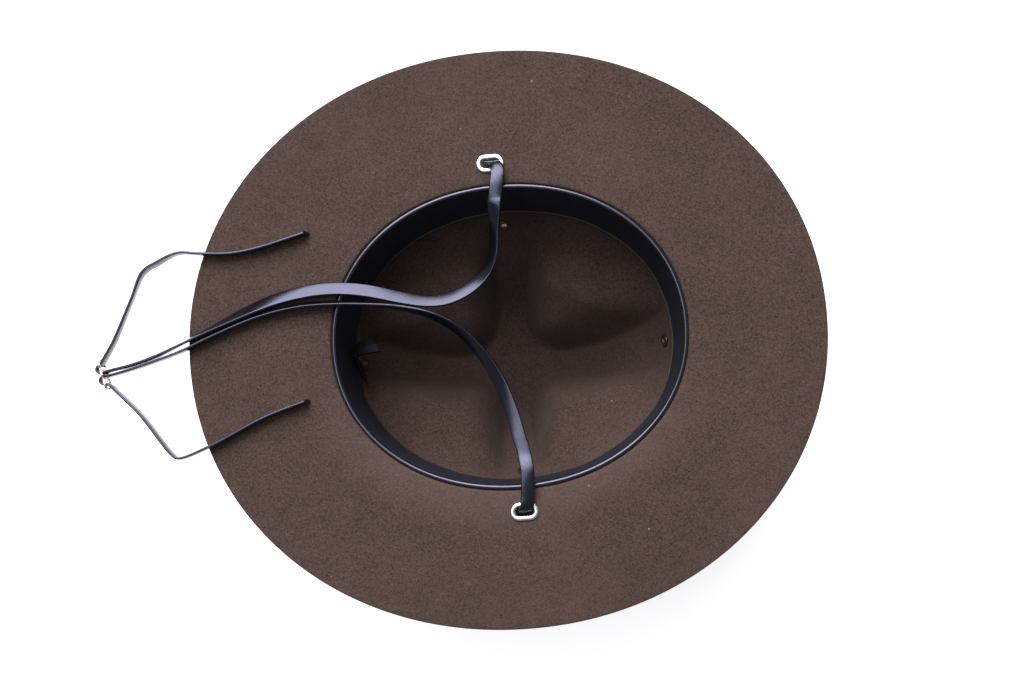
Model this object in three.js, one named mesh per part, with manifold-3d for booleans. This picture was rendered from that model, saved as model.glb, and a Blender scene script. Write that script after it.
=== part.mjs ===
// Campaign hat lying upside down on its peak, as it does when its underside is shown.
// The felt is one piece: a flat brim and a crown pressed in from four sides, so that four ridges
// meet at the peak. A leather sweatband with a corded top edge lines the crown and is tied with a
// ribbon bow at the back. Two oval eyelets in the brim carry a flat leather chin strap, whose
// doubled run passes a brass slide behind the brim. Four round vents pierce the crown.
// Millimetres. +X is the front of the hat, +Y the wearer's right side, +Z up.
// The origin lies on the floor below the middle of the brim.
import * as THREE from "three";
import { mergeVertices } from "three/addons/utils/BufferGeometryUtils.js";
import Module from "manifold-3d";

const wasm = await Module();
wasm.setup();

// Felt body
const brimLength = 360.4;
const brimWidth = 327.2;
const brimSquareness = 2.05;
const brimThickness = 2.4;
const brimEdgeRound = 0.8;
const openingLength = 202;
const openingWidth = 173;
const openingSquareness = 2.08;
const crownHeight = 120;
const crownForward = 1.9;
const feltWall = 2.2;
const breakRadius = 1.4;
const baseFillet = 5;

// The four dents that press the crown in between its ridges. Each is a round hollow that rises from
// the ridges within its reach. The ridges widen toward their ends.
const dentDepth = 28;
const dentReach = 40;
const dentFoot = 3;
const longRidgeHalfWidth = 4;
const longRidgeFrontSpread = 14;
const longRidgeBackSpread = 8;
const crossRidgeHalfWidth = 6.5;
const crossRidgeSpread = 4;
const ridgeTurn = -1.7;

// The soft crown leans, so that its peak lies a little behind and to the wearer's left
const peakForward = -2;
const peakAside = -9;

// Sweatband
const sweatbandDepth = 57;
const sweatbandThickness = 1.2;
const cordRadius = 1.1;
const cordSink = 0.3;
const cordOverlap = 0.22;
const bandSlack = 0.1;
const bandFootSlack = 0.2;
const seatGap = 0.3;

// Ribbon bow at the back of the sweatband
const ribbonWidth = 7;
const ribbonThickness = 0.8;
const bowLoopLength = 17;
const bowLoopOpening = 2.6;
const bowKnot = { long: 4, wide: 5, tall: 7.5 };
const bowDepth = 47;
const bowStandOff = 1.1;

// Oval eyelets in the brim
const ovalHoleLength = 10.4;
const ovalHoleWidth = 4.8;
const ovalFlange = 2.8;
const ovalDome = 1.15;
const ovalBarrel = 0.7;
const ovalOffset = 12.2;
const rightOvalForward = -0.9;
const leftOvalForward = 2.8;

// Round vents in the crown
const ventHoleRadius = 1.9;
const ventFlange = 2.1;
const ventDome = 0.8;
const ventBarrel = 0.5;
const ventSeat = 0.7;

// Chin strap and its slide
const laceWidth = 7.6;
const laceThickness = 1.6;
const laceChamfer = 0.35;
const laceStep = 22;
const slideThickness = 1.5;
const slideHeight = 11.6;
const slideWaist = 0.8;
const slideRim = 1.6;
const slideBar = 1.7;
const slideMiddleHole = 4.8;
const slideOuterHole = 4;
const slideHoleHeight = 8.9;
const slideHoleCorner = 0.8;
const slideBack = 228.3;
const slideSide = 3.2;
const slideDroop = 1.3;
const slideTurn = 14;

// Places that follow from the sizes
const brimFace = crownHeight + brimThickness;
const innerDepth = brimFace - feltWall;
const ovalOutward = openingWidth / 2 + ovalOffset;

// Crown outline from the opening to the peak. Depth is a share of the inner depth, reachLong and
// reachWide are shares of the half opening, toward the front or back and toward the sides.
const crownOutline = [
  { depth: 0.0, reachLong: 1.0, reachWide: 1.0 },
  { depth: 0.2, reachLong: 0.992, reachWide: 0.99 },
  { depth: 0.44, reachLong: 0.972, reachWide: 0.963 },
  { depth: 0.55, reachLong: 0.949, reachWide: 0.924 },
  { depth: 0.64, reachLong: 0.915, reachWide: 0.861 },
  { depth: 0.73, reachLong: 0.865, reachWide: 0.782 },
  { depth: 0.81, reachLong: 0.793, reachWide: 0.693 },
  { depth: 0.88, reachLong: 0.7, reachWide: 0.6 },
  { depth: 0.94, reachLong: 0.581, reachWide: 0.502 },
  { depth: 0.98, reachLong: 0.443, reachWide: 0.403 },
  { depth: 0.997, reachLong: 0.31, reachWide: 0.31 },
  { depth: 1.0, reachLong: 0.16, reachWide: 0.17 },
  { depth: 1.0, reachLong: 0.0, reachWide: 0.0 },
];

// The dents start and reach their full depth at these shares of the inner depth, and are pressed
// toward a point on the crown's axis at the third share.
const dentStart = 0.5;
const dentFull = 0.8;
const dentTarget = 0.36;
const dentRoundness = 3;
const dentSteepness = 2.5;
const leanPower = 3;

// Vents by the quarter turn that they sit at, and how far each has slipped along the wall
const vents = [
  { name: "vent_front", quarter: 0, slip: -3, depth: 75 },
  { name: "vent_right", quarter: 1, slip: 0, depth: 73 },
  { name: "vent_back", quarter: 2, slip: 2, depth: 75 },
  { name: "vent_left", quarter: 3, slip: 0, depth: 75 },
];

// Chin strap route from the right tail's end, through the slide, over the opening, down through
// the right eyelet, round the front of the crown, up through the left eyelet and back to the left
// tail's end. x, y and z are the middle of the strap, z above the brim's face; ax, ay and az point
// across its width, and needn't be of unit length.
const strapRoute = [
  // x, y, z, ax, ay, az
  [-107.5, 67.4, 4.1, 0, 0, 1],
  [-136.2, 60.8, 4.1, 0, 0, 1],
  [-152, 59.2, 4.1, 0, 0, 1],
  [-169, 60.6, 4.1, 0, 0, 1],
  [-181.7, 62, 4, 0, 0, 1],
  [-193.6, 57.5, 3.8, 0, 0.1, 1],
  [-202.4, 52.6, 3.6, 0.05, 0.1, 1],
  [-209.8, 38.2, 3.3, 0.12, 0.05, 1],
  [-221.7, 14.5, 2.9, 0.03, 0, 1],
  [-225.9, 8, 2.8, 0, 0, 1],
  [-228.1, 4.7, 2.8, 0, 0, 1],
  [-229.2, 3, 2.8, 0, 0, 1],
  [-230.5, 1.9, 2.8, 0, 0, 1],
  [-231.5, 0.9, 2.8, 0, 0, 1],
  [-231.8, -0.7, 2.8, 0, 0, 1],
  [-230.8, -2, 2.8, 0, 0, 1],
  [-229.6, -2.3, 2.8, 0, 0, 1],
  [-228.5, -2.2, 2.8, 0, 0, 1],
  [-224.5, -1.3, 2.9, 0, 0, 1],
  [-212.2, 0.7, 3.4, 0, 0, 1],
  [-196.9, 4.8, 4, 0, 0, 1],
  [-170.3, 15.6, 4.2, 0.13, -0.31, 0.94],
  [-138.4, 28.1, 3.3, 0.24, -0.75, 0.62],
  [-123.2, 32.2, 3, 0.18, -0.86, 0.47],
  [-105.3, 34.5, 3.3, 0.05, -0.93, 0.36],
  [-89.9, 34, 3.8, -0.09, -0.93, 0.35],
  [-74.6, 31.3, 3.4, -0.2, -0.92, 0.33],
  [-56.8, 26.2, 2.4, -0.22, -0.88, 0.42],
  [-41.6, 23, 1.4, 0, -0.88, 0.47],
  [-29.6, 23.8, 0.6, 0.25, -0.85, 0.47],
  [-17.2, 29.2, 0, 0.5, -0.73, 0.47],
  [-8.7, 36.5, -0.4, 0.62, -0.5, 0.6],
  [-3.5, 46, -0.5, 0.6, -0.25, 0.75],
  [-1.7, 60.4, 0.1, 0.66, -0.06, 0.75],
  [-1.1, 67, 1.2, 0.83, -0.08, 0.55],
  [-0.3, 74.6, 2.7, 0.97, -0.08, 0.2],
  [0.5, 79, 3.2, 0.99, -0.05, 0.1],
  [1.6, 84.8, 5, 1, 0, 0],
  [3.2, 93.5, 5.3, 1, 0, 0],
  [1.9, 97.6, 4.5, 1, 0, -0.2],
  [-0.7, 98.8, 2, 1, 0, -0.12],
  [-0.9, 98.8, -1.4, 1, 0, 0],
  [-0.3, 98.8, -4.8, 1, -0.1, 0.12],
  [3, 97.6, -9, 0.72, -0.3, 0.62],
  [9.5, 94.9, -11.7, 0.2, 0, 1],
  [22.3, 91.2, -12, 0, 0, 1],
  [51.4, 80.3, -12, 0, 0, 1],
  [73.7, 67.1, -12, 0, 0, 1],
  [91.1, 48.5, -12, 0, 0, 1],
  [102.5, 25.1, -12, 0, 0, 1],
  [106.2, 0, -12, 0, 0, 1],
  [102.5, -25.1, -12, 0, 0, 1],
  [91.1, -48.5, -12, 0, 0, 1],
  [73.7, -67.1, -12, 0, 0, 1],
  [52.1, -80.2, -12, 0, 0, 1],
  [24.3, -90.5, -12, 0, 0, 1],
  [12.5, -94, -11.7, 0.2, 0, 1],
  [6.2, -96.9, -9, 0.72, 0.3, 0.62],
  [3.4, -98, -4.8, 1, 0.1, 0.12],
  [2.8, -98.2, -1.4, 1, 0, 0],
  [3.2, -98.1, 1.6, 1, 0, -0.1],
  [4.2, -96.6, 4, 1, 0.1, -0.1],
  [5.4, -90.4, 5.2, 1, 0.05, 0],
  [6.3, -76.5, 4.6, 1, 0.05, 0],
  [3.5, -58.4, 2.4, 1, 0.15, 0.06],
  [0.2, -43, 0.8, 0.96, 0.2, 0.2],
  [-6.1, -23.8, -0.2, 0.85, 0.3, 0.43],
  [-14, -9.1, 0, 0.66, 0.4, 0.64],
  [-24.8, 4.3, 0.8, 0.48, 0.44, 0.76],
  [-39.4, 14.2, 2, 0.25, 0.38, 0.89],
  [-56, 20, 3.2, 0.1, 0.2, 0.97],
  [-75.1, 23.8, 4.9, 0, -0.1, 0.99],
  [-96, 26.3, 5.3, 0, -0.35, 0.94],
  [-116, 26.4, 4.8, 0, -0.38, 0.92],
  [-138.8, 22.4, 4.3, 0, -0.3, 0.95],
  [-170.5, 11.4, 4.1, 0, -0.15, 0.99],
  [-180, 7.2, 4.1, 0, 0, 1],
  [-197, 2.1, 3.9, 0, 0, 1],
  [-212.3, -1.7, 3.4, 0, 0, 1],
  [-224, -3.9, 2.9, 0, 0, 1],
  [-228, -4.2, 2.8, 0, 0, 1],
  [-229, -4.6, 2.8, 0, 0, 1],
  [-229.9, -5.4, 2.8, 0, 0, 1],
  [-230.2, -7, 2.8, 0, 0, 1],
  [-229.2, -8.3, 2.8, 0, 0, 1],
  [-227.8, -8.8, 2.8, 0, 0, 1],
  [-226.1, -9, 2.8, 0, 0, 1],
  [-224.2, -10.2, 2.8, 0, 0, 1],
  [-222.3, -12.5, 2.8, 0, 0, 1],
  [-208.6, -27.7, 3.2, 0, 0, 1],
  [-192, -51.4, 3.8, 0, 0, 1],
  [-188.6, -53.8, 3.9, 0, 0, 1],
  [-171, -48.9, 4.1, 0, 0, 1],
  [-137.4, -34.6, 4.1, 0, 0, 1],
  [-113.6, -27.5, 4.1, 0, 0, 1],
];

// Materials
function finish(colour, roughness, metalness) {
  return new THREE.MeshStandardMaterial({ color: colour, roughness, metalness });
}

const felt = finish(0x5a4b44, 0.95, 0);
const sweatLeather = finish(0x17171d, 0.4, 0);
const strapLeather = finish(0x1c1c24, 0.35, 0);
const ribbonCloth = finish(0x15161a, 0.7, 0);
const silver = finish(0xd9dadd, 0.2, 1);
const bronze = finish(0x5b4437, 0.4, 0.8);
const brass = finish(0xcdb57a, 0.25, 1);

// Curves and small sums
function smooth(value) {
  const held = Math.min(1, Math.max(0, value));
  return held * held * (3 - 2 * held);
}

function solidOf(geometry) {
  const plain = geometry.clone();
  plain.deleteAttribute("normal");
  plain.deleteAttribute("uv");
  const merged = mergeVertices(plain, 1e-4);
  return new wasm.Manifold(
    new wasm.Mesh({
      numProp: 3,
      vertProperties: new Float32Array(merged.attributes.position.array),
      triVerts: new Uint32Array(merged.index.array),
    }),
  );
}

function geometryOf(solid) {
  const mesh = solid.getMesh();
  const geometry = new THREE.BufferGeometry();
  geometry.setAttribute("position", new THREE.BufferAttribute(mesh.vertProperties, 3));
  geometry.setIndex(new THREE.BufferAttribute(mesh.triVerts, 1));
  geometry.computeVertexNormals();
  return geometry;
}

// A closed surface over a grid of points, rows of equal length that close on themselves. It closes
// between its last and first row too, or runs to a single point or a flat cap at either end.
function skinOf(rows, ends) {
  const points = rows.flat();
  const columns = rows[0].length;
  const faces = [];
  const corner = (row, column) => (row % rows.length) * columns + (column % columns);
  const steps = ends ? rows.length - 1 : rows.length;
  for (let row = 0; row < steps; row += 1) {
    for (let column = 0; column < columns; column += 1) {
      const here = corner(row, column);
      const beside = corner(row, column + 1);
      const above = corner(row + 1, column);
      const across = corner(row + 1, column + 1);
      faces.push(here, across, beside, here, above, across);
    }
  }
  if (ends) {
    const first = points.push(ends.first) - 1;
    const last = points.push(ends.last) - 1;
    for (let column = 0; column < columns; column += 1) {
      faces.push(corner(0, column), corner(0, column + 1), first);
      faces.push(corner(rows.length - 1, column + 1), corner(rows.length - 1, column), last);
    }
  }
  const geometry = new THREE.BufferGeometry();
  const places = points.flatMap((point) => point.toArray());
  geometry.setAttribute("position", new THREE.Float32BufferAttribute(places, 3));
  geometry.setIndex(faces);
  geometry.computeVertexNormals();
  return geometry;
}

function meshOf(name, geometry, material) {
  const mesh = new THREE.Mesh(geometry, material);
  mesh.name = name;
  return mesh;
}

// Crown: the inner surface, its normals and what lies at a given depth
const crownCurve = new THREE.CatmullRomCurve3(
  crownOutline.map((row) => new THREE.Vector3(row.depth, row.reachLong, row.reachWide)),
  false,
  "centripetal",
);

function outlineShareAt(depth) {
  const halvings = 40;
  let low = 0;
  let high = 1;
  for (let step = 0; step < halvings; step += 1) {
    const middle = (low + high) / 2;
    if (crownCurve.getPoint(middle).x * innerDepth < depth) {
      low = middle;
    } else {
      high = middle;
    }
  }
  return (low + high) / 2;
}

// How deep a dent is at a place off the crown's axis, from 0 on the ridges to 1
function dentAt(x, y) {
  const turn = (ridgeTurn * Math.PI) / 180;
  const forward = x * Math.cos(turn) + y * Math.sin(turn);
  const aside = y * Math.cos(turn) - x * Math.sin(turn);
  const longSpread = forward < 0 ? longRidgeBackSpread : longRidgeFrontSpread;
  const longHalf = longRidgeHalfWidth + longSpread * ((2 * forward) / openingLength) ** 2;
  const crossHalf = crossRidgeHalfWidth + crossRidgeSpread * ((2 * aside) / openingWidth) ** 2;
  const offLong = Math.max(0, 1 - (Math.abs(aside) - longHalf) / dentReach);
  const offCross = Math.max(0, 1 - (Math.abs(forward) - crossHalf) / dentReach);
  const off = (offLong ** dentRoundness + offCross ** dentRoundness) ** (1 / dentRoundness);
  const foot = dentFoot / dentReach;
  const within = (Math.hypot(Math.max(0, 1 - off), foot) - foot) / (Math.hypot(1, foot) - foot);
  return 1 - (1 - within) ** dentSteepness;
}

function innerPoint(angle, share) {
  const row = crownCurve.getPoint(share);
  const squaredLong = Math.abs(Math.cos(angle)) ** openingSquareness;
  const squaredWide = Math.abs(Math.sin(angle)) ** openingSquareness;
  const fullness = (squaredLong + squaredWide) ** (-1 / openingSquareness);
  const x = (openingLength / 2) * row.y * fullness * Math.cos(angle);
  const y = (openingWidth / 2) * row.z * fullness * Math.sin(angle);
  const depth = innerDepth * row.x;
  const lowered = smooth((row.x - dentStart) / (dentFull - dentStart));
  const push = dentDepth * dentAt(x, y) * lowered;
  const inward = new THREE.Vector3(-x, -y, depth - dentTarget * innerDepth).normalize().multiplyScalar(push);
  const lean = row.x ** leanPower;
  const axis = new THREE.Vector3(crownForward + peakForward * lean, peakAside * lean, brimFace - depth);
  return axis.add(new THREE.Vector3(x, y, 0)).add(inward);
}

function innerNormal(angle, share) {
  const small = 1e-3;
  const high = Math.min(1 - small, share + small);
  const alongWall = innerPoint(angle, high).sub(innerPoint(angle, high - 2 * small));
  const alongRing = innerPoint(angle + small, high).sub(innerPoint(angle - small, high));
  return alongWall.cross(alongRing).normalize();
}

// Angles round the hat, closer together on the ridges than in the dents
const turns = 60;
const ridgeCrowding = 0.35;
const angles = Array.from({ length: turns }, (_, index) => {
  const even = (2 * Math.PI * index) / turns;
  return even - (ridgeCrowding * Math.sin(4 * even)) / 4;
});

function brimPoint(angle, inset, height) {
  const power = 2 / brimSquareness;
  const c = Math.cos(angle);
  const s = Math.sin(angle);
  const x = (brimLength / 2 - inset) * Math.sign(c) * Math.abs(c) ** power;
  const y = (brimWidth / 2 - inset) * Math.sign(s) * Math.abs(s) ** power;
  return new THREE.Vector3(x, y, height);
}

// The wall flares from the crown into the brim round a quarter arc. The outward direction is level.
function flare(base, angle, radius, quarters) {
  const outward = new THREE.Vector3(
    Math.cos(angle) / openingLength,
    Math.sin(angle) / openingWidth,
    0,
  ).normalize();
  const turn = (quarters * Math.PI) / 2;
  return base
    .clone()
    .addScaledVector(outward, radius * (1 - Math.cos(turn)))
    .setZ(base.z + radius * Math.sin(turn));
}

// The first of the wall's rows lies a part of a row off the peak, which a single point closes.
function feltBody() {
  const rows = 16;
  const firstRow = 0.35;
  const thirds = [1 / 3, 2 / 3];
  const innerStart = outlineShareAt(breakRadius);
  const outerStart = outlineShareAt(brimThickness + baseFillet);
  const sections = angles.map((angle) => {
    const inner = [];
    const outer = [];
    for (let row = 0; row < rows; row += 1) {
      const up = 1 - (row + firstRow) / (rows - 1 + firstRow);
      inner.push(innerPoint(angle, innerStart + (1 - innerStart) * up));
      const share = outerStart + (1 - outerStart) * up;
      outer.push(innerPoint(angle, share).addScaledVector(innerNormal(angle, share), feltWall));
    }
    const faceStart = flare(inner[rows - 1], angle, breakRadius, 1).setZ(brimFace);
    const backStart = flare(outer[rows - 1], angle, baseFillet, 1).setZ(crownHeight);
    const faceEdge = brimPoint(angle, brimEdgeRound, brimFace);
    const backEdge = brimPoint(angle, brimEdgeRound, crownHeight);
    return [
      ...inner,
      ...thirds.map((quarters) => flare(inner[rows - 1], angle, breakRadius, quarters)),
      faceStart,
      ...thirds.map((step) => faceStart.clone().lerp(faceEdge, step)),
      faceEdge,
      brimPoint(angle, 0, brimFace - brimEdgeRound),
      brimPoint(angle, 0, crownHeight + brimEdgeRound),
      backEdge,
      ...thirds.map((step) => backEdge.clone().lerp(backStart, step)),
      backStart,
      ...thirds.map((step) => flare(outer[rows - 1], angle, baseFillet, 1 - step)),
      ...outer.reverse(),
    ];
  });
  const grid = sections[0].map((_, row) => sections.map((section) => section[row]));
  const ends = {
    first: new THREE.Vector3(crownForward + peakForward, peakAside, brimFace - innerDepth),
    last: new THREE.Vector3(crownForward + peakForward, peakAside, 0),
  };
  return skinOf(grid, ends);
}

// Eyelets: a closed section carried round a long or round hole. The section's rows hold the way
// out from the hole's edge as a share of the flange, and the height as a share of the dome.
const eyeletSection = [
  { out: 0, level: "face", up: 0.35 },
  { out: 0.14, level: "face", up: 0.86 },
  { out: 0.45, level: "face", up: 1 },
  { out: 0.8, level: "face", up: 0.7 },
  { out: 1, level: "face", up: 0 },
  { out: "barrel", level: "face", up: 0 },
  { out: "barrel", level: "back", up: 0 },
  { out: 0.9, level: "back", up: 0 },
  { out: 0.62, level: "back", up: 0.7 },
  { out: 0.2, level: "back", up: 0.8 },
  { out: 0, level: "back", up: 0.3 },
];

function holeEdge(turn, length, width) {
  const straight = (length - width) / 2;
  const c = Math.cos(turn);
  const s = Math.sin(turn);
  return { x: Math.sign(c) * straight + (width / 2) * c, y: (width / 2) * s, c, s };
}

function eyelet(size) {
  const { length, width, flange, dome, barrel, seat, wall, sides } = size;
  const grid = eyeletSection.map((row) => {
    const out = row.out === "barrel" ? barrel : row.out * flange;
    const face = seat + row.up * dome;
    const height = row.level === "face" ? face : -wall - face;
    return Array.from({ length: sides }, (_, index) => {
      const edge = holeEdge((2 * Math.PI * (index + 0.5)) / sides, length, width);
      return new THREE.Vector3(edge.x + out * edge.c, edge.y + out * edge.s, height);
    });
  });
  return skinOf(grid);
}

function holeCutter(length, width, depth, sides) {
  const outline = Array.from({ length: sides }, (_, index) => {
    const edge = holeEdge((2 * Math.PI * (index + 0.5)) / sides, length, width);
    return new THREE.Vector2(edge.x, edge.y);
  });
  const cutter = new THREE.ExtrudeGeometry(new THREE.Shape(outline), { depth, bevelEnabled: false });
  return cutter.translate(0, 0, -depth / 2);
}

const ovalSize = {
  length: ovalHoleLength,
  width: ovalHoleWidth,
  flange: ovalFlange,
  dome: ovalDome,
  barrel: ovalBarrel,
  seat: seatGap,
  wall: brimThickness,
  sides: 16,
};
const ventSize = {
  length: 2 * ventHoleRadius,
  width: 2 * ventHoleRadius,
  flange: ventFlange,
  dome: ventDome,
  barrel: ventBarrel,
  seat: ventSeat,
  wall: feltWall,
  sides: 12,
};

const ovals = [
  { name: "brim_eyelet_right", x: rightOvalForward, y: ovalOutward },
  { name: "brim_eyelet_left", x: leftOvalForward, y: -ovalOutward },
];

// A vent's own Z axis points into the hollow, off the wall's inner face.
function ventPlace(vent) {
  const quarterAngle = (vent.quarter * Math.PI) / 2;
  const share = outlineShareAt(vent.depth);
  const radius = innerPoint(quarterAngle, share).setZ(0).sub(new THREE.Vector3(crownForward, 0, 0)).length();
  const angle = quarterAngle + vent.slip / radius;
  const inward = innerNormal(angle, share).negate();
  return {
    position: innerPoint(angle, share),
    quaternion: new THREE.Quaternion().setFromUnitVectors(new THREE.Vector3(0, 0, 1), inward),
  };
}

function cutFelt() {
  let body = solidOf(feltBody());
  const clearance = 2 * (ovalBarrel + seatGap);
  const throughBrim = 4 * brimThickness;
  const throughWall = 6 * feltWall;
  for (const oval of ovals) {
    const cutter = holeCutter(
      ovalHoleLength + clearance,
      ovalHoleWidth + clearance,
      throughBrim,
      ovalSize.sides,
    );
    cutter.translate(oval.x, oval.y, brimFace);
    body = body.subtract(solidOf(cutter));
  }
  for (const vent of vents) {
    const width = 2 * (ventHoleRadius + ventBarrel + seatGap);
    const cutter = holeCutter(width, width, throughWall, ventSize.sides);
    const place = ventPlace(vent);
    cutter.applyQuaternion(place.quaternion);
    cutter.translate(place.position.x, place.position.y, place.position.z);
    body = body.subtract(solidOf(cutter));
  }
  return geometryOf(body);
}

// Sweatband: a leather strip hanging from a covered cord that lies in the break of the brim. The
// cord's turns are in half circles, from the wall's side over the top to the inner side.
function sweatband() {
  const cordInset = seatGap + cordRadius;
  const wallInset = seatGap + bandSlack;
  const footInset = seatGap + bandFootSlack;
  const neck = 2 * cordRadius + cordOverlap;
  const cordTurns = [1.15, 0.825, 0.5, 0.175, -0.15];
  const section = [
    { inset: footInset, depth: sweatbandDepth },
    { inset: wallInset, depth: sweatbandDepth / 2 },
    { inset: wallInset, depth: neck },
    ...cordTurns.map((turn) => ({
      inset: cordInset + cordRadius * Math.cos(Math.PI * turn),
      depth: cordSink - cordRadius * Math.sin(Math.PI * turn),
    })),
    { inset: wallInset + sweatbandThickness, depth: neck },
    { inset: wallInset + sweatbandThickness, depth: sweatbandDepth / 2 },
    { inset: footInset + sweatbandThickness, depth: sweatbandDepth },
  ];
  const grid = section.map((row) => {
    const share = outlineShareAt(Math.max(0, row.depth));
    return angles.map((angle) => {
      const inward = new THREE.Vector3(
        -Math.cos(angle) / openingLength,
        -Math.sin(angle) / openingWidth,
        0,
      ).normalize();
      return innerPoint(angle, share).addScaledVector(inward, row.inset).setZ(brimFace - row.depth);
    });
  });
  return skinOf(grid.reverse());
}

// Bow: two flat ribbon loops that meet under a small knot against the sweatband
function ribbonLoop() {
  const steps = 8;
  const outline = (grow) => {
    const points = [];
    for (let step = 0; step <= steps; step += 1) {
      const way = step / steps;
      const swell = Math.sin(Math.PI * way ** 1.3) ** 0.6;
      const half = Math.max((bowLoopOpening / 2) * swell + grow, 0.01);
      points.push(new THREE.Vector2(bowLoopLength * way + grow * (2 * way - 1), half));
    }
    const back = points.slice(1, -1).reverse();
    return [...points, ...back.map((point) => new THREE.Vector2(point.x, -point.y))];
  };
  const shape = new THREE.Shape(outline(ribbonThickness / 2));
  shape.holes.push(new THREE.Path(outline(-ribbonThickness / 2).reverse()));
  const loop = new THREE.ExtrudeGeometry(shape, { depth: ribbonWidth, bevelEnabled: false });
  return loop.translate(0, 0, -ribbonWidth / 2);
}

function bow() {
  const knot = new THREE.SphereGeometry(0.5, 10, 6).scale(bowKnot.long, bowKnot.wide, bowKnot.tall);
  const lyingLoop = ribbonLoop().rotateX(Math.PI / 2).rotateY(-0.15).rotateZ(0.55);
  const wallLoop = ribbonLoop().rotateZ(-1.25);
  const body = solidOf(knot).add(solidOf(lyingLoop)).add(solidOf(wallLoop));
  const wall = innerPoint(Math.PI, outlineShareAt(bowDepth));
  const off = seatGap + sweatbandThickness + bowKnot.long / 2 + bowStandOff;
  return geometryOf(body).translate(wall.x + off, 0, wall.z);
}

// Slide: a brass plate with three slots, its outline swelling round each slot
function roundedSlot(at, width) {
  const corners = [
    { x: 1, y: 1, from: 0 },
    { x: -1, y: 1, from: 1 },
    { x: -1, y: -1, from: 2 },
    { x: 1, y: -1, from: 3 },
  ];
  const points = corners.flatMap((corner) =>
    [0, 1 / 3, 2 / 3, 1].map((part) => {
      const turn = ((corner.from + part) * Math.PI) / 2;
      return new THREE.Vector2(
        at + corner.x * (width / 2 - slideHoleCorner) + slideHoleCorner * Math.cos(turn),
        corner.y * (slideHoleHeight / 2 - slideHoleCorner) + slideHoleCorner * Math.sin(turn),
      );
    }),
  );
  return new THREE.Path(points);
}

function slide() {
  const pitch = (slideMiddleHole + slideOuterHole) / 2 + slideBar;
  const halfLength = pitch + slideOuterHole / 2 + slideRim;
  const steps = 24;
  const edge = (side, step) => {
    const along = -halfLength * Math.cos((Math.PI * step) / steps);
    const roundEnds = (1 - Math.abs(along / halfLength) ** 5) ** 0.4;
    const waist = slideWaist * (0.5 - 0.5 * Math.cos((2 * Math.PI * along) / pitch));
    return new THREE.Vector2(along, side * (slideHeight / 2 - waist) * roundEnds);
  };
  const counts = Array.from({ length: steps }, (_, step) => step);
  const shape = new THREE.Shape([
    ...counts.map((step) => edge(1, step)),
    ...counts.map((step) => edge(-1, steps - step)),
  ]);
  shape.holes.push(
    roundedSlot(-pitch, slideOuterHole),
    roundedSlot(0, slideMiddleHole),
    roundedSlot(pitch, slideOuterHole),
  );
  const plate = new THREE.ExtrudeGeometry(shape, { depth: slideThickness, bevelEnabled: false });
  return plate.translate(0, 0, -slideThickness / 2);
}

// Chin strap: a flat eight-cornered section carried along the route, turned by its across vectors
function strap() {
  const place = new THREE.CatmullRomCurve3(
    strapRoute.map(([x, y, z]) => new THREE.Vector3(x, y, brimFace + z)),
    false,
    "centripetal",
  );
  const across = new THREE.CatmullRomCurve3(strapRoute.map((row) => new THREE.Vector3(...row.slice(3))));
  const halfWidth = laceWidth / 2;
  const halfThick = laceThickness / 2;
  const corners = [
    [halfWidth, laceChamfer - halfThick],
    [halfWidth - laceChamfer, -halfThick],
    [laceChamfer - halfWidth, -halfThick],
    [-halfWidth, laceChamfer - halfThick],
    [-halfWidth, halfThick - laceChamfer],
    [laceChamfer - halfWidth, halfThick],
    [halfWidth - laceChamfer, halfThick],
    [halfWidth, halfThick - laceChamfer],
  ];
  const sectionAt = (share) => {
    const tangent = place.getTangent(share);
    const middle = place.getPoint(share);
    const wide = across.getPoint(share);
    wide.addScaledVector(tangent, -wide.dot(tangent)).normalize();
    const thick = new THREE.Vector3().crossVectors(tangent, wide);
    return corners.map(([w, t]) => middle.clone().addScaledVector(wide, w).addScaledVector(thick, t));
  };
  const spans = strapRoute.length - 1;
  const rows = [sectionAt(0)];
  for (let span = 0; span < spans; span += 1) {
    const reach = place.points[span].distanceTo(place.points[span + 1]);
    const steps = Math.ceil(reach / laceStep);
    for (let step = 1; step <= steps; step += 1) {
      rows.push(sectionAt((span + step / steps) / spans));
    }
  }
  return skinOf(rows, { first: place.getPoint(0), last: place.getPoint(1) });
}

// Assembly
const hat = new THREE.Group();
hat.add(meshOf("felt_body", cutFelt(), felt));
hat.add(meshOf("sweatband", sweatband(), sweatLeather));
hat.add(meshOf("ribbon_bow", bow(), ribbonCloth));

for (const oval of ovals) {
  const mesh = meshOf(oval.name, eyelet(ovalSize), silver);
  mesh.position.set(oval.x, oval.y, brimFace);
  hat.add(mesh);
}

for (const vent of vents) {
  const mesh = meshOf(vent.name, eyelet(ventSize), bronze);
  const place = ventPlace(vent);
  mesh.position.copy(place.position);
  mesh.quaternion.copy(place.quaternion);
  hat.add(mesh);
}

hat.add(meshOf("chin_strap", strap(), strapLeather));

const slideMesh = meshOf("strap_slide", slide(), brass);
const slideHolder = new THREE.Group();
slideHolder.position.set(-slideBack, -slideSide, brimFace + laceWidth / 2 + seatGap - slideDroop);
slideHolder.rotation.z = THREE.MathUtils.degToRad(slideTurn);
slideMesh.rotation.set(Math.PI / 2, Math.PI / 2, 0);
slideHolder.add(slideMesh);
hat.add(slideHolder);

export default hat;
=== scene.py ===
import math

import bmesh
import bpy
import numpy as np
from mathutils import Matrix, Vector


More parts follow.
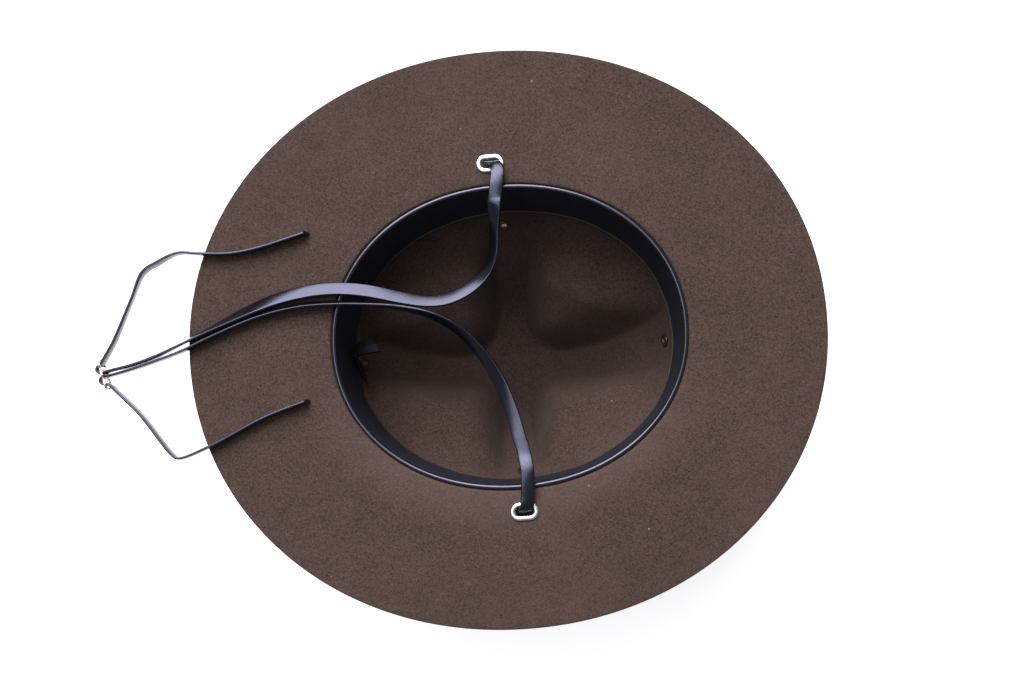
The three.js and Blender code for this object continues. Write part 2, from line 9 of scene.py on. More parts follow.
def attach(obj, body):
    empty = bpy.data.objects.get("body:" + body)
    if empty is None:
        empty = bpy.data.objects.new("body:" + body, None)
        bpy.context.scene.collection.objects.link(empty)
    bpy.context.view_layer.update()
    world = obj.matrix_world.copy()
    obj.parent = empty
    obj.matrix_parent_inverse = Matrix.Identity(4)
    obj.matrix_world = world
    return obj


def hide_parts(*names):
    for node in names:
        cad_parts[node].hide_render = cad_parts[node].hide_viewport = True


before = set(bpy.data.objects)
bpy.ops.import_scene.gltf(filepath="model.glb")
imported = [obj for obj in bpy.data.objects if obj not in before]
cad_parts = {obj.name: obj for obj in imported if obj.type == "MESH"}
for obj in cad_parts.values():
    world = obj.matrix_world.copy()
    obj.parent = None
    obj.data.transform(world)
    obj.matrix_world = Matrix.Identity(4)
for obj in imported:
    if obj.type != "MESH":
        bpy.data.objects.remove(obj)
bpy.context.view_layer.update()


# Camera
# It looks down into the upturned hat from 0.8 m above the brim, a little from the front and from the
# wearer's left, through a 50 mm lens. The hat's front lies slightly upward from the picture's right.
picture_turn = math.radians(4.6)
eye = Vector((0.034, -0.0648, 0.9195))
aim = Vector((0.0034, -0.0035, 0.1224))

back = (eye - aim).normalized()
right = Vector((math.sin(picture_turn), math.cos(picture_turn), 0)).cross(back).normalized()
up = back.cross(right)
camera = bpy.data.objects.new("camera", bpy.data.cameras.new("camera"))
camera.data.lens = 50
camera.data.sensor_width = 36
camera.data.clip_start = 0.01
camera.data.clip_end = 20
camera.matrix_world = Matrix.Translation(eye) @ Matrix((right, up, back)).transposed().to_4x4()
bpy.context.collection.objects.link(camera)
bpy.context.scene.camera = camera


# Chin strap
# One flat leather lace, cut 7.6 mm wide from 1.6 mm hide and dyed black. From the right tail's end it
# runs through the slide, over the opening, down through the right eyelet, round the front of the
# crown, up through the left eyelet and back through the slide. Its tails lie on edge on the brim.
lace_width = 0.0076
lace_thickness = 0.0016
lace_slant = 0.0018
lace_slant_fade = 0.004
lace_step = 1.3
brim_face = 0.1224
# x, y and z in millimetres, z above the brim's face, then the direction across the lace
lace_route = [
    (-107.5, 67.4, 4.1, 0, 0, 1),
    (-136.2, 60.8, 4.1, 0, 0, 1),
    (-152, 59.2, 4.1, 0, 0, 1),
    (-169, 60.6, 4.1, 0, 0, 1),
    (-181.7, 62, 4, 0, 0, 1),
    (-193.6, 57.5, 3.8, 0, 0.1, 1),
    (-202.4, 52.6, 3.6, 0.05, 0.1, 1),
    (-209.8, 38.2, 3.3, 0.12, 0.05, 1),
    (-221.7, 14.5, 2.9, 0.03, 0, 1),
    (-225.9, 8, 2.8, 0, 0, 1),
    (-228.1, 4.7, 2.8, 0, 0, 1),
    (-229.2, 3, 2.8, 0, 0, 1),
    (-230.5, 1.9, 2.8, 0, 0, 1),
    (-231.5, 0.9, 2.8, 0, 0, 1),
    (-231.8, -0.7, 2.8, 0, 0, 1),
    (-230.8, -2, 2.8, 0, 0, 1),
    (-229.6, -2.3, 2.8, 0, 0, 1),
    (-228.5, -2.2, 2.8, 0, 0, 1),
    (-224.5, -1.3, 2.9, 0, 0, 1),
    (-212.2, 0.7, 3.4, 0, 0, 1),
    (-196.9, 4.8, 4, 0, 0, 1),
    (-170.3, 15.6, 4.2, 0.13, -0.31, 0.94),
    (-138.4, 28.1, 3.3, 0.24, -0.75, 0.62),
    (-123.2, 32.2, 3, 0.18, -0.86, 0.47),
    (-105.3, 34.5, 3.3, 0.05, -0.93, 0.36),
    (-89.9, 34, 3.8, -0.09, -0.93, 0.35),
    (-74.6, 31.3, 3.4, -0.2, -0.92, 0.33),
    (-56.8, 26.2, 2.4, -0.22, -0.88, 0.42),
    (-41.6, 23, 1.4, 0, -0.88, 0.47),
    (-29.6, 23.8, 0.6, 0.25, -0.85, 0.47),
    (-17.2, 29.2, 0, 0.5, -0.73, 0.47),
    (-8.7, 36.5, -0.4, 0.62, -0.5, 0.6),
    (-3.5, 46, -0.5, 0.6, -0.25, 0.75),
    (-1.7, 60.4, 0.1, 0.66, -0.06, 0.75),
    (-1.1, 67, 1.3, 0.83, -0.08, 0.55),
    (-0.6, 72, 3.2, 0.92, -0.08, 0.36),
    (-0.2, 75.4, 4.4, 0.97, -0.08, 0.16),
    (0.4, 78.4, 4.4, 0.99, -0.05, 0.1),
    (1, 81.5, 4.8, 1, 0, 0.04),
    (1.7, 85.2, 5.1, 1, 0, 0),
    (2.5, 89.4, 5, 1, 0, 0),
    (3, 93.5, 4.6, 1, 0, 0),
    (1.9, 97.4, 3.8, 1, 0, -0.2),
    (-0.7, 98.8, 2, 1, 0, -0.12),
    (-0.9, 98.8, -1.4, 1, 0, 0),
    (-0.3, 98.8, -4.8, 1, -0.1, 0.12),
    (3, 97.6, -9, 0.72, -0.3, 0.62),
    (9.5, 94.9, -11.7, 0.2, 0, 1),
    (22.3, 91.2, -12, 0, 0, 1),
    (51.4, 80.3, -12, 0, 0, 1),
    (73.7, 67.1, -12, 0, 0, 1),
    (91.1, 48.5, -12, 0, 0, 1),
    (102.5, 25.1, -12, 0, 0, 1),
    (106.2, 0, -12, 0, 0, 1),
    (102.5, -25.1, -12, 0, 0, 1),
    (91.1, -48.5, -12, 0, 0, 1),
    (73.7, -67.1, -12, 0, 0, 1),
    (52.1, -80.2, -12, 0, 0, 1),
    (24.3, -90.5, -12, 0, 0, 1),
    (12.5, -94, -11.7, 0.2, 0, 1),
    (6.2, -96.9, -9, 0.72, 0.3, 0.62),
    (3.4, -98, -4.8, 1, 0.1, 0.12),
    (2.8, -98.2, -1.4, 1, 0, 0),
    (3.2, -98.1, 1.6, 1, 0, -0.1),
    (4.2, -96.6, 3.4, 1, 0.1, -0.1),
    (5.4, -90.4, 4.5, 1, 0.05, 0),
    (6.1, -82, 5.4, 1, 0.05, 0),
    (6.4, -76.5, 5.5, 1, 0.05, 0),
    (6.1, -72.4, 4.9, 1, 0.06, 0),
    (5.4, -67.2, 3.8, 1, 0.09, 0.02),
    (4.5, -62, 3.1, 1, 0.12, 0.04),
    (3.5, -58.4, 2.7, 1, 0.15, 0.06),
    (0.2, -43, 0.9, 0.96, 0.2, 0.2),
    (-6.1, -23.8, -0.2, 0.85, 0.3, 0.43),
    (-14, -9.1, 0, 0.66, 0.4, 0.64),
    (-24.8, 4.3, 0.8, 0.48, 0.44, 0.76),
    (-39.4, 14.2, 2, 0.25, 0.38, 0.89),
    (-56, 20, 3.2, 0.1, 0.2, 0.97),
    (-75.1, 23.8, 4.9, 0, -0.1, 0.99),
    (-96, 26.3, 5.3, 0, -0.35, 0.94),
    (-116, 26.4, 4.8, 0, -0.38, 0.92),
    (-138.8, 22.4, 4.3, 0, -0.3, 0.95),
    (-170.5, 11.4, 4.1, 0, -0.15, 0.99),
    (-180, 7.2, 4.1, 0, 0, 1),
    (-197, 2.1, 3.9, 0, 0, 1),
    (-212.3, -1.7, 3.4, 0, 0, 1),
    (-224, -3.9, 2.9, 0, 0, 1),
    (-228, -4.2, 2.8, 0, 0, 1),
    (-229, -4.6, 2.8, 0, 0, 1),
    (-229.9, -5.4, 2.8, 0, 0, 1),
    (-230.2, -7, 2.8, 0, 0, 1),
    (-229.2, -8.3, 2.8, 0, 0, 1),
    (-227.8, -8.8, 2.8, 0, 0, 1),
    (-226.1, -9, 2.8, 0, 0, 1),
    (-224.2, -10.2, 2.8, 0, 0, 1),
    (-222.3, -12.5, 2.8, 0, 0, 1),
    (-208.6, -27.7, 3.2, 0, 0, 1),
    (-192, -51.4, 3.8, 0, 0, 1),
    (-188.6, -53.8, 3.9, 0, 0, 1),
    (-171, -48.9, 4.1, 0, 0, 1),
    (-137.4, -34.6, 4.1, 0, 0, 1),
    (-113.6, -27.5, 4.1, 0, 0, 1),
]
# Half of the lace's outline as shares of its half width and half thickness: the hide is cut square,
# and its corners are skived
lace_outline = [(1, 0), (1, 0.42), (0.975, 0.72), (0.93, 0.87), (0.84, 0.95), (0.45, 1.12), (0, 1.18)]


class Channel:
    """A shader socket that takes part in sums, so that a mask or a colour can be written out."""

    def __init__(self, material, socket):
        self.material = material
        self.socket = socket

    def _sum(self, operation, first, second):
        return self.material.node("ShaderNodeMath", {"operation": operation}, {0: first, 1: second})

    def __add__(self, other):
        return self._sum("ADD", self, other)

    def __radd__(self, other):
        return self._sum("ADD", other, self)

    def __sub__(self, other):
        return self._sum("SUBTRACT", self, other)

    def __rsub__(self, other):
        return self._sum("SUBTRACT", other, self)

    def __mul__(self, other):
        return self._sum("MULTIPLY", self, other)

    def __rmul__(self, other):
        return self._sum("MULTIPLY", other, self)

    def held(self):
        """The value kept between 0 and 1."""
        return self.material.node("ShaderNodeClamp", {}, {"Value": self})

    def between(self, low, high):
        """0 below low, 1 above high and smooth in between."""
        inputs = {"Value": self, "From Min": low, "From Max": high}
        return self.material.node("ShaderNodeMapRange", {"interpolation_type": "SMOOTHSTEP"}, inputs)


class Finish:
    """A material that is put together from nodes. Constant settings go on the shader's own sockets."""

    def __init__(self, name, **constants):
        self.material = bpy.data.materials.new(name)
        self.material.use_nodes = True
        self.tree = self.material.node_tree
        self.shader = self.tree.nodes["Principled BSDF"]
        for socket, value in constants.items():
            self.shader.inputs[socket.replace("_", " ")].default_value = value

    def node(self, kind, settings, inputs, output=0):
        node = self.tree.nodes.new(kind)
        for key, value in settings.items():
            setattr(node, key, value)
        for key, value in inputs.items():
            if isinstance(value, Channel):
                self.tree.links.new(value.socket, node.inputs[key])
            else:
                node.inputs[key].default_value = value
        return Channel(self, node.outputs[output])

    def places(self):
        """Object coordinates, which are metres in the shared frame."""
        return self.node("ShaderNodeTexCoord", {}, {}, "Object")

    def along(self, name):
        """A piece's own UV map."""
        return self.node("ShaderNodeUVMap", {"uv_map": name}, {})

    def stretched(self, places, scale):
        return self.node("ShaderNodeVectorMath", {"operation": "MULTIPLY"}, {0: places, 1: scale})

    def noise(self, places, scale, detail=2, roughness=0.5, distortion=0):
        inputs = {
            "Vector": places,
            "Scale": scale,
            "Detail": detail,
            "Roughness": roughness,
            "Distortion": distortion,
        }
        return self.node("ShaderNodeTexNoise", {}, inputs)

    def blend(self, share, first, second):
        inputs = {0: share, 6: first, 7: second}
        return self.node("ShaderNodeMix", {"data_type": "RGBA"}, inputs, 2)

    def bump(self, height, distance, strength):
        return self.node("ShaderNodeBump", {}, {"Height": height, "Distance": distance, "Strength": strength})

    def part_of(self, vector, axis):
        """One coordinate of a vector: X, Y or Z."""
        return self.node("ShaderNodeSeparateXYZ", {}, {0: vector}, axis)

    def length_of(self, vector):
        return self.node("ShaderNodeVectorMath", {"operation": "LENGTH"}, {0: vector}, "Value")

    def wear(self, **sockets):
        """Links what varies over the surface."""
        for socket, channel in sockets.items():
            self.tree.links.new(channel.socket, self.shader.inputs[socket.replace("_", " ")])
        return self.material


def on_curve(points, at):
    """Places on the smooth curve through the points: 0 is the first point, 1 the second and so on."""
    points = np.asarray(points, float)
    ends = np.vstack([2 * points[0] - points[1], points, 2 * points[-1] - points[-2]])
    span = np.clip(np.floor(at).astype(int), 0, len(points) - 2)
    a, b, c, d = (ends[span + step] for step in range(4))
    t = (at - span)[:, None]
    first, middle, last = (
        np.maximum(np.linalg.norm(q - p, axis=1), 1e-9)[:, None] ** 0.5 for p, q in ((a, b), (b, c), (c, d))
    )
    leave = middle * ((b - a) / first - (c - a) / (first + middle) + (c - b) / middle)
    arrive = middle * ((c - b) / middle - (d - b) / (middle + last) + (d - c) / last)
    return b + leave * t + (3 * (c - b) - 2 * leave - arrive) * t**2 + (leave + arrive - 2 * (c - b)) * t**3


def piece(name, vertices, faces, material):
    """A smooth mesh piece, with its place in its mesh."""
    mesh = bpy.data.meshes.new(name)
    mesh.from_pydata([tuple(v) for v in vertices], [], [tuple(f) for f in faces])
    mesh.materials.append(material)
    mesh.polygons.foreach_set("use_smooth", [True] * len(mesh.polygons))
    mesh.update()
    made = bpy.data.objects.new(name, mesh)
    bpy.context.collection.objects.link(made)
    return made


def ring_faces(rings, sides, closed_rings=False):
    """Quads between rows of points that each close on themselves, turned outward for rings that run
    counter-clockwise as seen from the end that they lead to."""
    steps = rings if closed_rings else rings - 1
    row, side = np.divmod(np.arange(steps * sides), sides)
    beside = (side + 1) % sides
    above = (row + 1) % rings
    corners = [(row, side), (row, beside), (above, beside), (above, side)]
    return np.stack([ring * sides + at for ring, at in corners], 1)


def unit(vectors):
    return vectors / np.linalg.norm(vectors, axis=-1, keepdims=True)


def length_along(points):
    """How far each point lies along the line through them."""
    return np.concatenate([[0], np.cumsum(np.linalg.norm(np.diff(points, axis=0), axis=1))])


def map_piece(made, name, places):
    """Gives the piece a UV map from a place for each of its vertices."""
    layer = made.data.uv_layers.new(name=name)
    corner = np.zeros(len(made.data.loops), int)
    made.data.loops.foreach_get("vertex_index", corner)
    layer.data.foreach_set("uv", places[corner].ravel())


route = np.array(lace_route, float)
span_lengths = np.linalg.norm(np.diff(route[:, :3], axis=0), axis=1)
steps_each = np.maximum(2, np.ceil(span_lengths / lace_step).astype(int))
lace_at = np.concatenate([
    *(span + np.arange(count) / count for span, count in enumerate(steps_each)),
    [len(route) - 1],
])
lace_middle = on_curve(route[:, :3], lace_at) / 1000 + [0, 0, brim_face]
lace_tangent = unit(np.gradient(lace_middle, axis=0))
lace_across = on_curve(route[:, 3:], lace_at)
lace_across = unit(lace_across - (lace_across * lace_tangent).sum(1, keepdims=True) * lace_tangent)
lace_out = np.cross(lace_tangent, lace_across)
lace_length = length_along(lace_middle)

quarter = np.array(lace_outline)
outline = np.vstack([
    quarter,
    quarter[-2::-1] * [-1, 1],
    quarter[1:] * [-1, -1],
    quarter[-2:0:-1] * [1, -1],
])
wide, thick = outline[:, 0] * lace_width / 2, outline[:, 1] * lace_thickness / 2
# The cut ends slant, and the slant dies away within a few millimetres
from_end = np.minimum(lace_length, lace_length[-1] - lace_length)
slant = lace_slant * np.exp(-from_end / lace_slant_fade) * np.where(lace_length < lace_length[-1] / 2, 1, -1)
lace_points = (
    lace_middle[:, None]
    + lace_across[:, None] * wide[None, :, None]
    + lace_out[:, None] * thick[None, :, None]
    + lace_tangent[:, None] * (slant[:, None] * outline[None, :, 0] * 0.5)[..., None]
)
sides = len(outline)
rings = len(lace_points)
lace_faces = ring_faces(rings, sides).tolist()
lace_faces.append(list(range(sides))[::-1])
lace_faces.append(list(range((rings - 1) * sides, rings * sides)))

lace_leather = Finish(
    "black lace leather",
    Specular_IOR_Level=0.88,
    Specular_Tint=(0.68, 0.7, 1, 1),
)
lay = lace_leather.along("lace")
grain = lace_leather.noise(lace_leather.places(), 900, 3, 0.6)
pores = lace_leather.noise(lace_leather.stretched(lay, (260, 2100, 1)), 1, 2, 0.5)
# Lighter, rougher streaks run along the lace; their lighter colour is a painted highlight
streak_noise = lace_leather.noise(lace_leather.stretched(lay, (40, 700, 1)), 1, 3, 0.6)
highlight_streaks = streak_noise.between(0.55, 0.8)
lace_leather.wear(
    Base_Color=lace_leather.blend(highlight_streaks * 0.6, (0.0035, 0.0035, 0.0055, 1), (0.012, 0.012, 0.018, 1)),
    Roughness=0.2 + grain * 0.08 + highlight_streaks * 0.08,
    Normal=lace_leather.bump(grain * 0.6 + pores * 0.4, 0.00008, 0.45),
)
chin_strap = piece("black_lace", lace_points.reshape(-1, 3), lace_faces, lace_leather.material)
girth = length_along(np.stack([wide, thick], 1))
map_piece(chin_strap, "lace", np.stack([np.repeat(lace_length, sides), np.tile(girth, rings)], 1))
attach(chin_strap, "root")
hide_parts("chin_strap")


# Slide
# A three-slot slide stamped from brass sheet 1.5 mm thick, with its edges tumbled round and lightly
# polished. Both runs of the lace pass its middle slot, wrap the bars and leave by the outer slots.
slide_place = Vector((-0.2283, -0.0032, brim_face + 0.0028))
slide_turn = math.radians(14)
slide_thickness = 0.0015
slide_height = 0.0116
slide_waist = 0.0008
slide_rim = 0.0016
slide_bar = 0.0017
slide_middle_hole = 0.0048
slide_outer_hole = 0.004
slide_hole_height = 0.0089
slide_hole_corner = 0.0011
slide_edge = 0.00038


def slot_outline(at, width):
    """A slot with rounded corners, as points in the plate's own plane."""
    turns = np.linspace(0, math.pi / 2, 7)
    points = []
    for x, y, start in ((1, 1, 0), (-1, 1, 1), (-1, -1, 2), (1, -1, 3)):
        a = turns + start * math.pi / 2
        across = at + x * (width / 2 - slide_hole_corner) + slide_hole_corner * np.cos(a)
        along = y * (slide_hole_height / 2 - slide_hole_corner) + slide_hole_corner * np.sin(a)
        points.append(np.stack([across, along], 1))
    return np.vstack(points)


slide_pitch = (slide_middle_hole + slide_outer_hole) / 2 + slide_bar
slide_half = slide_pitch + slide_outer_hole / 2 + slide_rim
turns = np.linspace(0, 2 * math.pi, 96, endpoint=False)
x = slide_half * np.cos(turns)
swell = slide_waist * (0.5 - 0.5 * np.cos(2 * math.pi * x / slide_pitch))
y = np.sign(np.sin(turns)) * (slide_height / 2 - swell) * (1 - np.abs(np.cos(turns)) ** 5) ** 0.4
slide_curve = bpy.data.curves.new("slide", "CURVE")
slide_curve.dimensions = "2D"
slide_curve.fill_mode = "BOTH"
slide_curve.extrude = slide_thickness / 2 - slide_edge
slide_curve.bevel_depth = slide_edge
slide_curve.bevel_resolution = 3
slide_curve.offset = -slide_edge
for loop in (
    np.stack([x, y], 1),
    slot_outline(-slide_pitch, slide_outer_hole),
    slot_outline(0, slide_middle_hole),
    slot_outline(slide_pitch, slide_outer_hole),
):
    spline = slide_curve.splines.new("POLY")
    spline.points.add(len(loop) - 1)
    level_and_weight = np.tile([0, 1], (len(loop), 1))
    spline.points.foreach_set("co", np.hstack([loop, level_and_weight]).ravel())
    spline.use_cyclic_u = True
flat_plate = bpy.data.objects.new("slide", slide_curve)
slide_mesh = bpy.data.meshes.new_from_object(flat_plate)
slide_mesh.transform(
    Matrix.Translation(slide_place)
    @ Matrix.Rotation(slide_turn, 4, "Z")
    @ Matrix.Rotation(math.pi / 2, 4, "X")
    @ Matrix.Rotation(math.pi / 2, 4, "Y")
)
bpy.data.objects.remove(flat_plate)

brass = Finish("polished brass", Metallic=1)
haze = brass.noise(brass.places(), 420, 3, 0.6)
brushed = brass.noise(brass.stretched(brass.places(), (300, 300, 2600)), 1, 2)
brass.wear(
    Base_Color=brass.blend(haze, (0.86, 0.74, 0.47, 1), (0.95, 0.88, 0.68, 1)),
    Roughness=0.16 + haze * 0.16,
    Normal=brass.bump(brushed, 0.00002, 0.4),
)
slide_mesh.materials.clear()
slide_mesh.materials.append(brass.material)


merge_distance = 1e-6


def tidied(mesh):
    """The mesh with its doubles merged and its faces turned outward."""
    b = bmesh.new()
    b.from_mesh(mesh)
    bmesh.ops.remove_doubles(b, verts=b.verts, dist=merge_distance)
    bmesh.ops.recalc_face_normals(b, faces=b.faces)
    b.to_mesh(mesh)
    b.free()
    mesh.update()
    return mesh


def smooth_by_angle(mesh, degrees):
    """Smooth faces, with the edges sharper than the angle kept sharp."""
    mesh.polygons.foreach_set("use_smooth", [True] * len(mesh.polygons))
    mesh.set_sharp_from_angle(angle=math.radians(degrees))


smooth_by_angle(tidied(slide_mesh), 40)
strap_slide = bpy.data.objects.new("brass_slide", slide_mesh)
bpy.context.collection.objects.link(strap_slide)
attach(strap_slide, "root")
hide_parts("strap_slide")


# Felt body
# Brim and crown are one piece of stiffened fur felt, steamed over a block. The crown is pinched in
# four places while it is warm, which leaves four ridges that meet at the peak.
brim_length = 0.3604
brim_width = 0.3272
brim_squareness = 2.05
brim_thickness = 0.0024
brim_edge_round = 0.0009
opening_length = 0.202
opening_width = 0.173
opening_squareness = 2.08
crown_forward = 0.0019
felt_wall = 0.0022
break_radius = 0.0014
base_fillet = 0.005
dent_depth = 0.028
dent_reach = 0.040
dent_foot = 0.003
dent_start, dent_full, dent_target = 0.5, 0.8, 0.36
dent_roundness = 3
dent_steepness = 2.5
long_ridge_half_width = 0.004
long_ridge_front_spread = 0.014
long_ridge_back_spread = 0.008
cross_ridge_half_width = 0.0065
cross_ridge_spread = 0.004
ridge_turn = math.radians(-1.7)
# The soft crown leans, so that its peak lies a little behind and to the wearer's left
peak_forward, peak_aside = -0.002, -0.009
lean_power = 3
brim_wave = 0.00022
wave_start, wave_reach = 0.115, 0.06
inner_depth = brim_face - felt_wall
# Depth as a share of the inner depth, and the reach toward the ends and toward the sides
crown_outline = [
    (0.0, 1.0, 1.0),
    (0.2, 0.992, 0.99),
    (0.44, 0.972, 0.963),
    (0.55, 0.949, 0.924),
    (0.64, 0.915, 0.861),
    (0.73, 0.865, 0.782),
    (0.81, 0.793, 0.693),
    (0.88, 0.7, 0.6),
    (0.94, 0.581, 0.502),
    (0.98, 0.443, 0.403),
    (0.997, 0.31, 0.31),
    (1.0, 0.16, 0.17),
    (1.0, 0.0, 0.0),
]


def eased(value):
    held = np.clip(value, 0, 1)
    return held * held * (3 - 2 * held)


def dent_at(x, y):
    """How deep a dent is at a place off the crown's axis, from 0 on the ridges to 1."""
    forward = x * math.cos(ridge_turn) + y * math.sin(ridge_turn)
    aside = y * math.cos(ridge_turn) - x * math.sin(ridge_turn)
    spread = np.where(forward < 0, long_ridge_back_spread, long_ridge_front_spread)
    long_half = long_ridge_half_width + spread * (2 * forward / opening_length) ** 2
    cross_half = cross_ridge_half_width + cross_ridge_spread * (2 * aside / opening_width) ** 2
    off_long = np.maximum(0, 1 - (np.abs(aside) - long_half) / dent_reach)
    off_cross = np.maximum(0, 1 - (np.abs(forward) - cross_half) / dent_reach)
    off = (off_long**dent_roundness + off_cross**dent_roundness) ** (1 / dent_roundness)
    foot = dent_foot / dent_reach
    within = (np.hypot(np.maximum(0, 1 - off), foot) - foot) / (math.hypot(1, foot) - foot)
    return 1 - (1 - within) ** dent_steepness


def crown_inside(angle, share):
    """A place on the crown's inner surface. share runs from 0 at the opening to 1 at the peak."""
    share = np.broadcast_to(share, np.shape(angle))
    depth, reach_long, reach_wide = on_curve(crown_outline, share * (len(crown_outline) - 1)).T
    squared = np.abs(np.cos(angle)) ** opening_squareness + np.abs(np.sin(angle)) ** opening_squareness
    fullness = squared ** (-1 / opening_squareness)
    x = opening_length / 2 * reach_long * fullness * np.cos(angle)
    y = opening_width / 2 * reach_wide * fullness * np.sin(angle)
    push = dent_depth * dent_at(x, y) * eased((depth - dent_start) / (dent_full - dent_start))
    toward = unit(np.stack([-x, -y, (depth - dent_target) * inner_depth], 1))
    lean = np.clip(depth, 0, 1) ** lean_power
    axis_x, axis_y = crown_forward + peak_forward * lean, peak_aside * lean
    place = np.stack([axis_x + x, axis_y + y, brim_face - depth * inner_depth], 1)
    return place + toward * push[:, None]


def level_outward(angle):
    """The level direction off the opening's edge, away from the hollow."""
    return unit(np.stack([np.cos(angle) / opening_length, np.sin(angle) / opening_width, 0 * angle], 1))


def crown_normal(angle, share):
    """The outward direction on the crown's inner surface."""
    small = 1e-4
    share = np.clip(share, small, 1 - small)
    down = crown_inside(angle, share + small) - crown_inside(angle, share - small)
    round_ring = crown_inside(angle + small, share) - crown_inside(angle - small, share)
    return unit(np.cross(down, round_ring))


# The depths along the crown's outline, down to where it turns flat at the peak
line_points = 4001
steep_points = 3600
line_shares = np.linspace(0, 1, line_points)
depth_line = on_curve(crown_outline, np.linspace(0, len(crown_outline) - 1, line_points))[:, 0] * inner_depth


def share_at(depth):
    """Where on the crown's outline a depth below the brim's face lies."""
    return np.interp(depth, depth_line[:steep_points], line_shares[:steep_points])


felt_turns = 240
hat_angles = np.linspace(0, 2 * math.pi, felt_turns, endpoint=False)
level_out = level_outward(hat_angles)


def brim_ring(inset, height):
    c, s = np.cos(hat_angles), np.sin(hat_angles)
    power = 2 / brim_squareness
    x = (brim_length / 2 - inset) * np.sign(c) * np.abs(c) ** power
    y = (brim_width / 2 - inset) * np.sign(s) * np.abs(s) ** power
    return np.stack([x, y, np.full_like(x, height)], 1)


def flare(base, radius, quarters):
    turn = quarters * math.pi / 2
    return base + level_out * radius * (1 - math.cos(turn)) + np.array([0, 0, radius * math.sin(turn)])


wall_rows = 84
inner_shares = np.linspace(1, share_at(break_radius), wall_rows + 1)[1:]
outer_shares = np.linspace(1, share_at(brim_thickness + base_fillet), wall_rows + 1)[1:]
inner_rows = [crown_inside(hat_angles, share) for share in inner_shares]
outer_rows = [
    crown_inside(hat_angles, share) + crown_normal(hat_angles, share) * felt_wall for share in outer_shares
]
face_start = flare(inner_rows[-1], break_radius, 1)
face_start[:, 2] = brim_face
back_start = flare(outer_rows[-1], base_fillet, 1)
back_start[:, 2] = brim_face - brim_thickness
face_edge = brim_ring(brim_edge_round, brim_face)
back_edge = brim_ring(brim_edge_round, brim_face - brim_thickness)
brim_steps = np.linspace(0, 1, 33)[1:-1]
edge_turns = np.linspace(0, math.pi / 2, 5)[1:]
felt_rows = [
    *inner_rows,
    *(flare(inner_rows[-1], break_radius, part) for part in (0.2, 0.4, 0.6, 0.8)),
    face_start,
    *(face_start * (1 - step) + face_edge * step for step in brim_steps),
    face_edge,
    *(
        brim_ring(brim_edge_round * (1 - math.sin(turn)), brim_face - brim_edge_round * (1 - math.cos(turn)))
        for turn in edge_turns
    ),
    *(
        brim_ring(
            brim_edge_round * (1 - math.cos(turn)),
            brim_face - brim_thickness + brim_edge_round * (1 - math.sin(turn)),
        )
        for turn in edge_turns[:-1]
    ),
    back_edge,
    *(back_edge * (1 - step) + back_start * step for step in brim_steps),
    back_start,
    *(flare(outer_rows[-1], base_fillet, part) for part in (0.85, 0.7, 0.5, 0.3, 0.15)),
    *outer_rows[::-1],
]
felt_points = np.vstack([
    *felt_rows,
    [[crown_forward + peak_forward, peak_aside, felt_wall]],
    [[crown_forward + peak_forward, peak_aside, 0]],
])
# The brim isn't dead flat: it waves by a fraction of a millimetre toward its edge
from_middle = np.hypot(felt_points[:, 0], felt_points[:, 1] * 1.1)
out_share = np.clip((from_middle - wave_start) / wave_reach, 0, 1)
wave_angle = np.arctan2(felt_points[:, 1], felt_points[:, 0])
on_brim = felt_points[:, 2] > brim_face - brim_thickness - 1e-5
wave = np.sin(2 * wave_angle + 0.7) + 0.6 * np.sin(3 * wave_angle - 1.9) - 1
felt_points[:, 2] += on_brim * out_share * brim_wave * wave
felt_faces = ring_faces(len(felt_rows), felt_turns)[:, ::-1].tolist()
peak_inside, peak_outside = len(felt_points) - 2, len(felt_points) - 1
last_row = (len(felt_rows) - 1) * felt_turns
for step in range(felt_turns):
    beside = (step + 1) % felt_turns
    felt_faces.append((step, beside, peak_inside))
    felt_faces.append((last_row + beside, last_row + step, peak_outside))

felt_finish = Finish(
    "brown fur felt",
    Specular_IOR_Level=0.22,
    Sheen_Weight=0.1,
    Sheen_Roughness=0.45,
    Sheen_Tint=(0.8, 0.66, 0.6, 1),
)
places = felt_finish.places()
nap = felt_finish.noise(places, 1500, 3, 0.65)
flock = felt_finish.noise(places, 620, 3, 0.6, 0.6)
cloud = felt_finish.noise(places, 75, 3, 0.6)
broad = felt_finish.noise(places, 13, 2, 0.5)
redness = felt_finish.noise(places, 900, 2, 0.6)
tone = nap * 1.8 + flock * 0.85 + cloud * 0.28 + broad * 0.25 - 1.14
ruddy = felt_finish.blend(tone.held(), (0.022, 0.0126, 0.0108, 1), (0.147, 0.0845, 0.0745, 1))
sandy = felt_finish.blend(tone.held(), (0.0196, 0.0137, 0.0104, 1), (0.13, 0.091, 0.071, 1))
fur = felt_finish.blend(redness.between(0.35, 0.65), ruddy, sandy)
hair = felt_finish.noise(places, 330, 0, 0.5, 4)
# The felt is painted lighter where the brim's near side meets the crown: painted light
from_rim = felt_finish.length_of(felt_finish.stretched(places, (0.86, 1, 0)))
near_side = 1 - felt_finish.part_of(places, "Y").between(-0.075, -0.01)
painted_light_near_rim = (1 - from_rim.between(0.086, 0.116)) * near_side * from_rim.between(0.083, 0.087)
fur = felt_finish.blend(painted_light_near_rim * 0.28, fur, (0.19, 0.122, 0.106, 1))
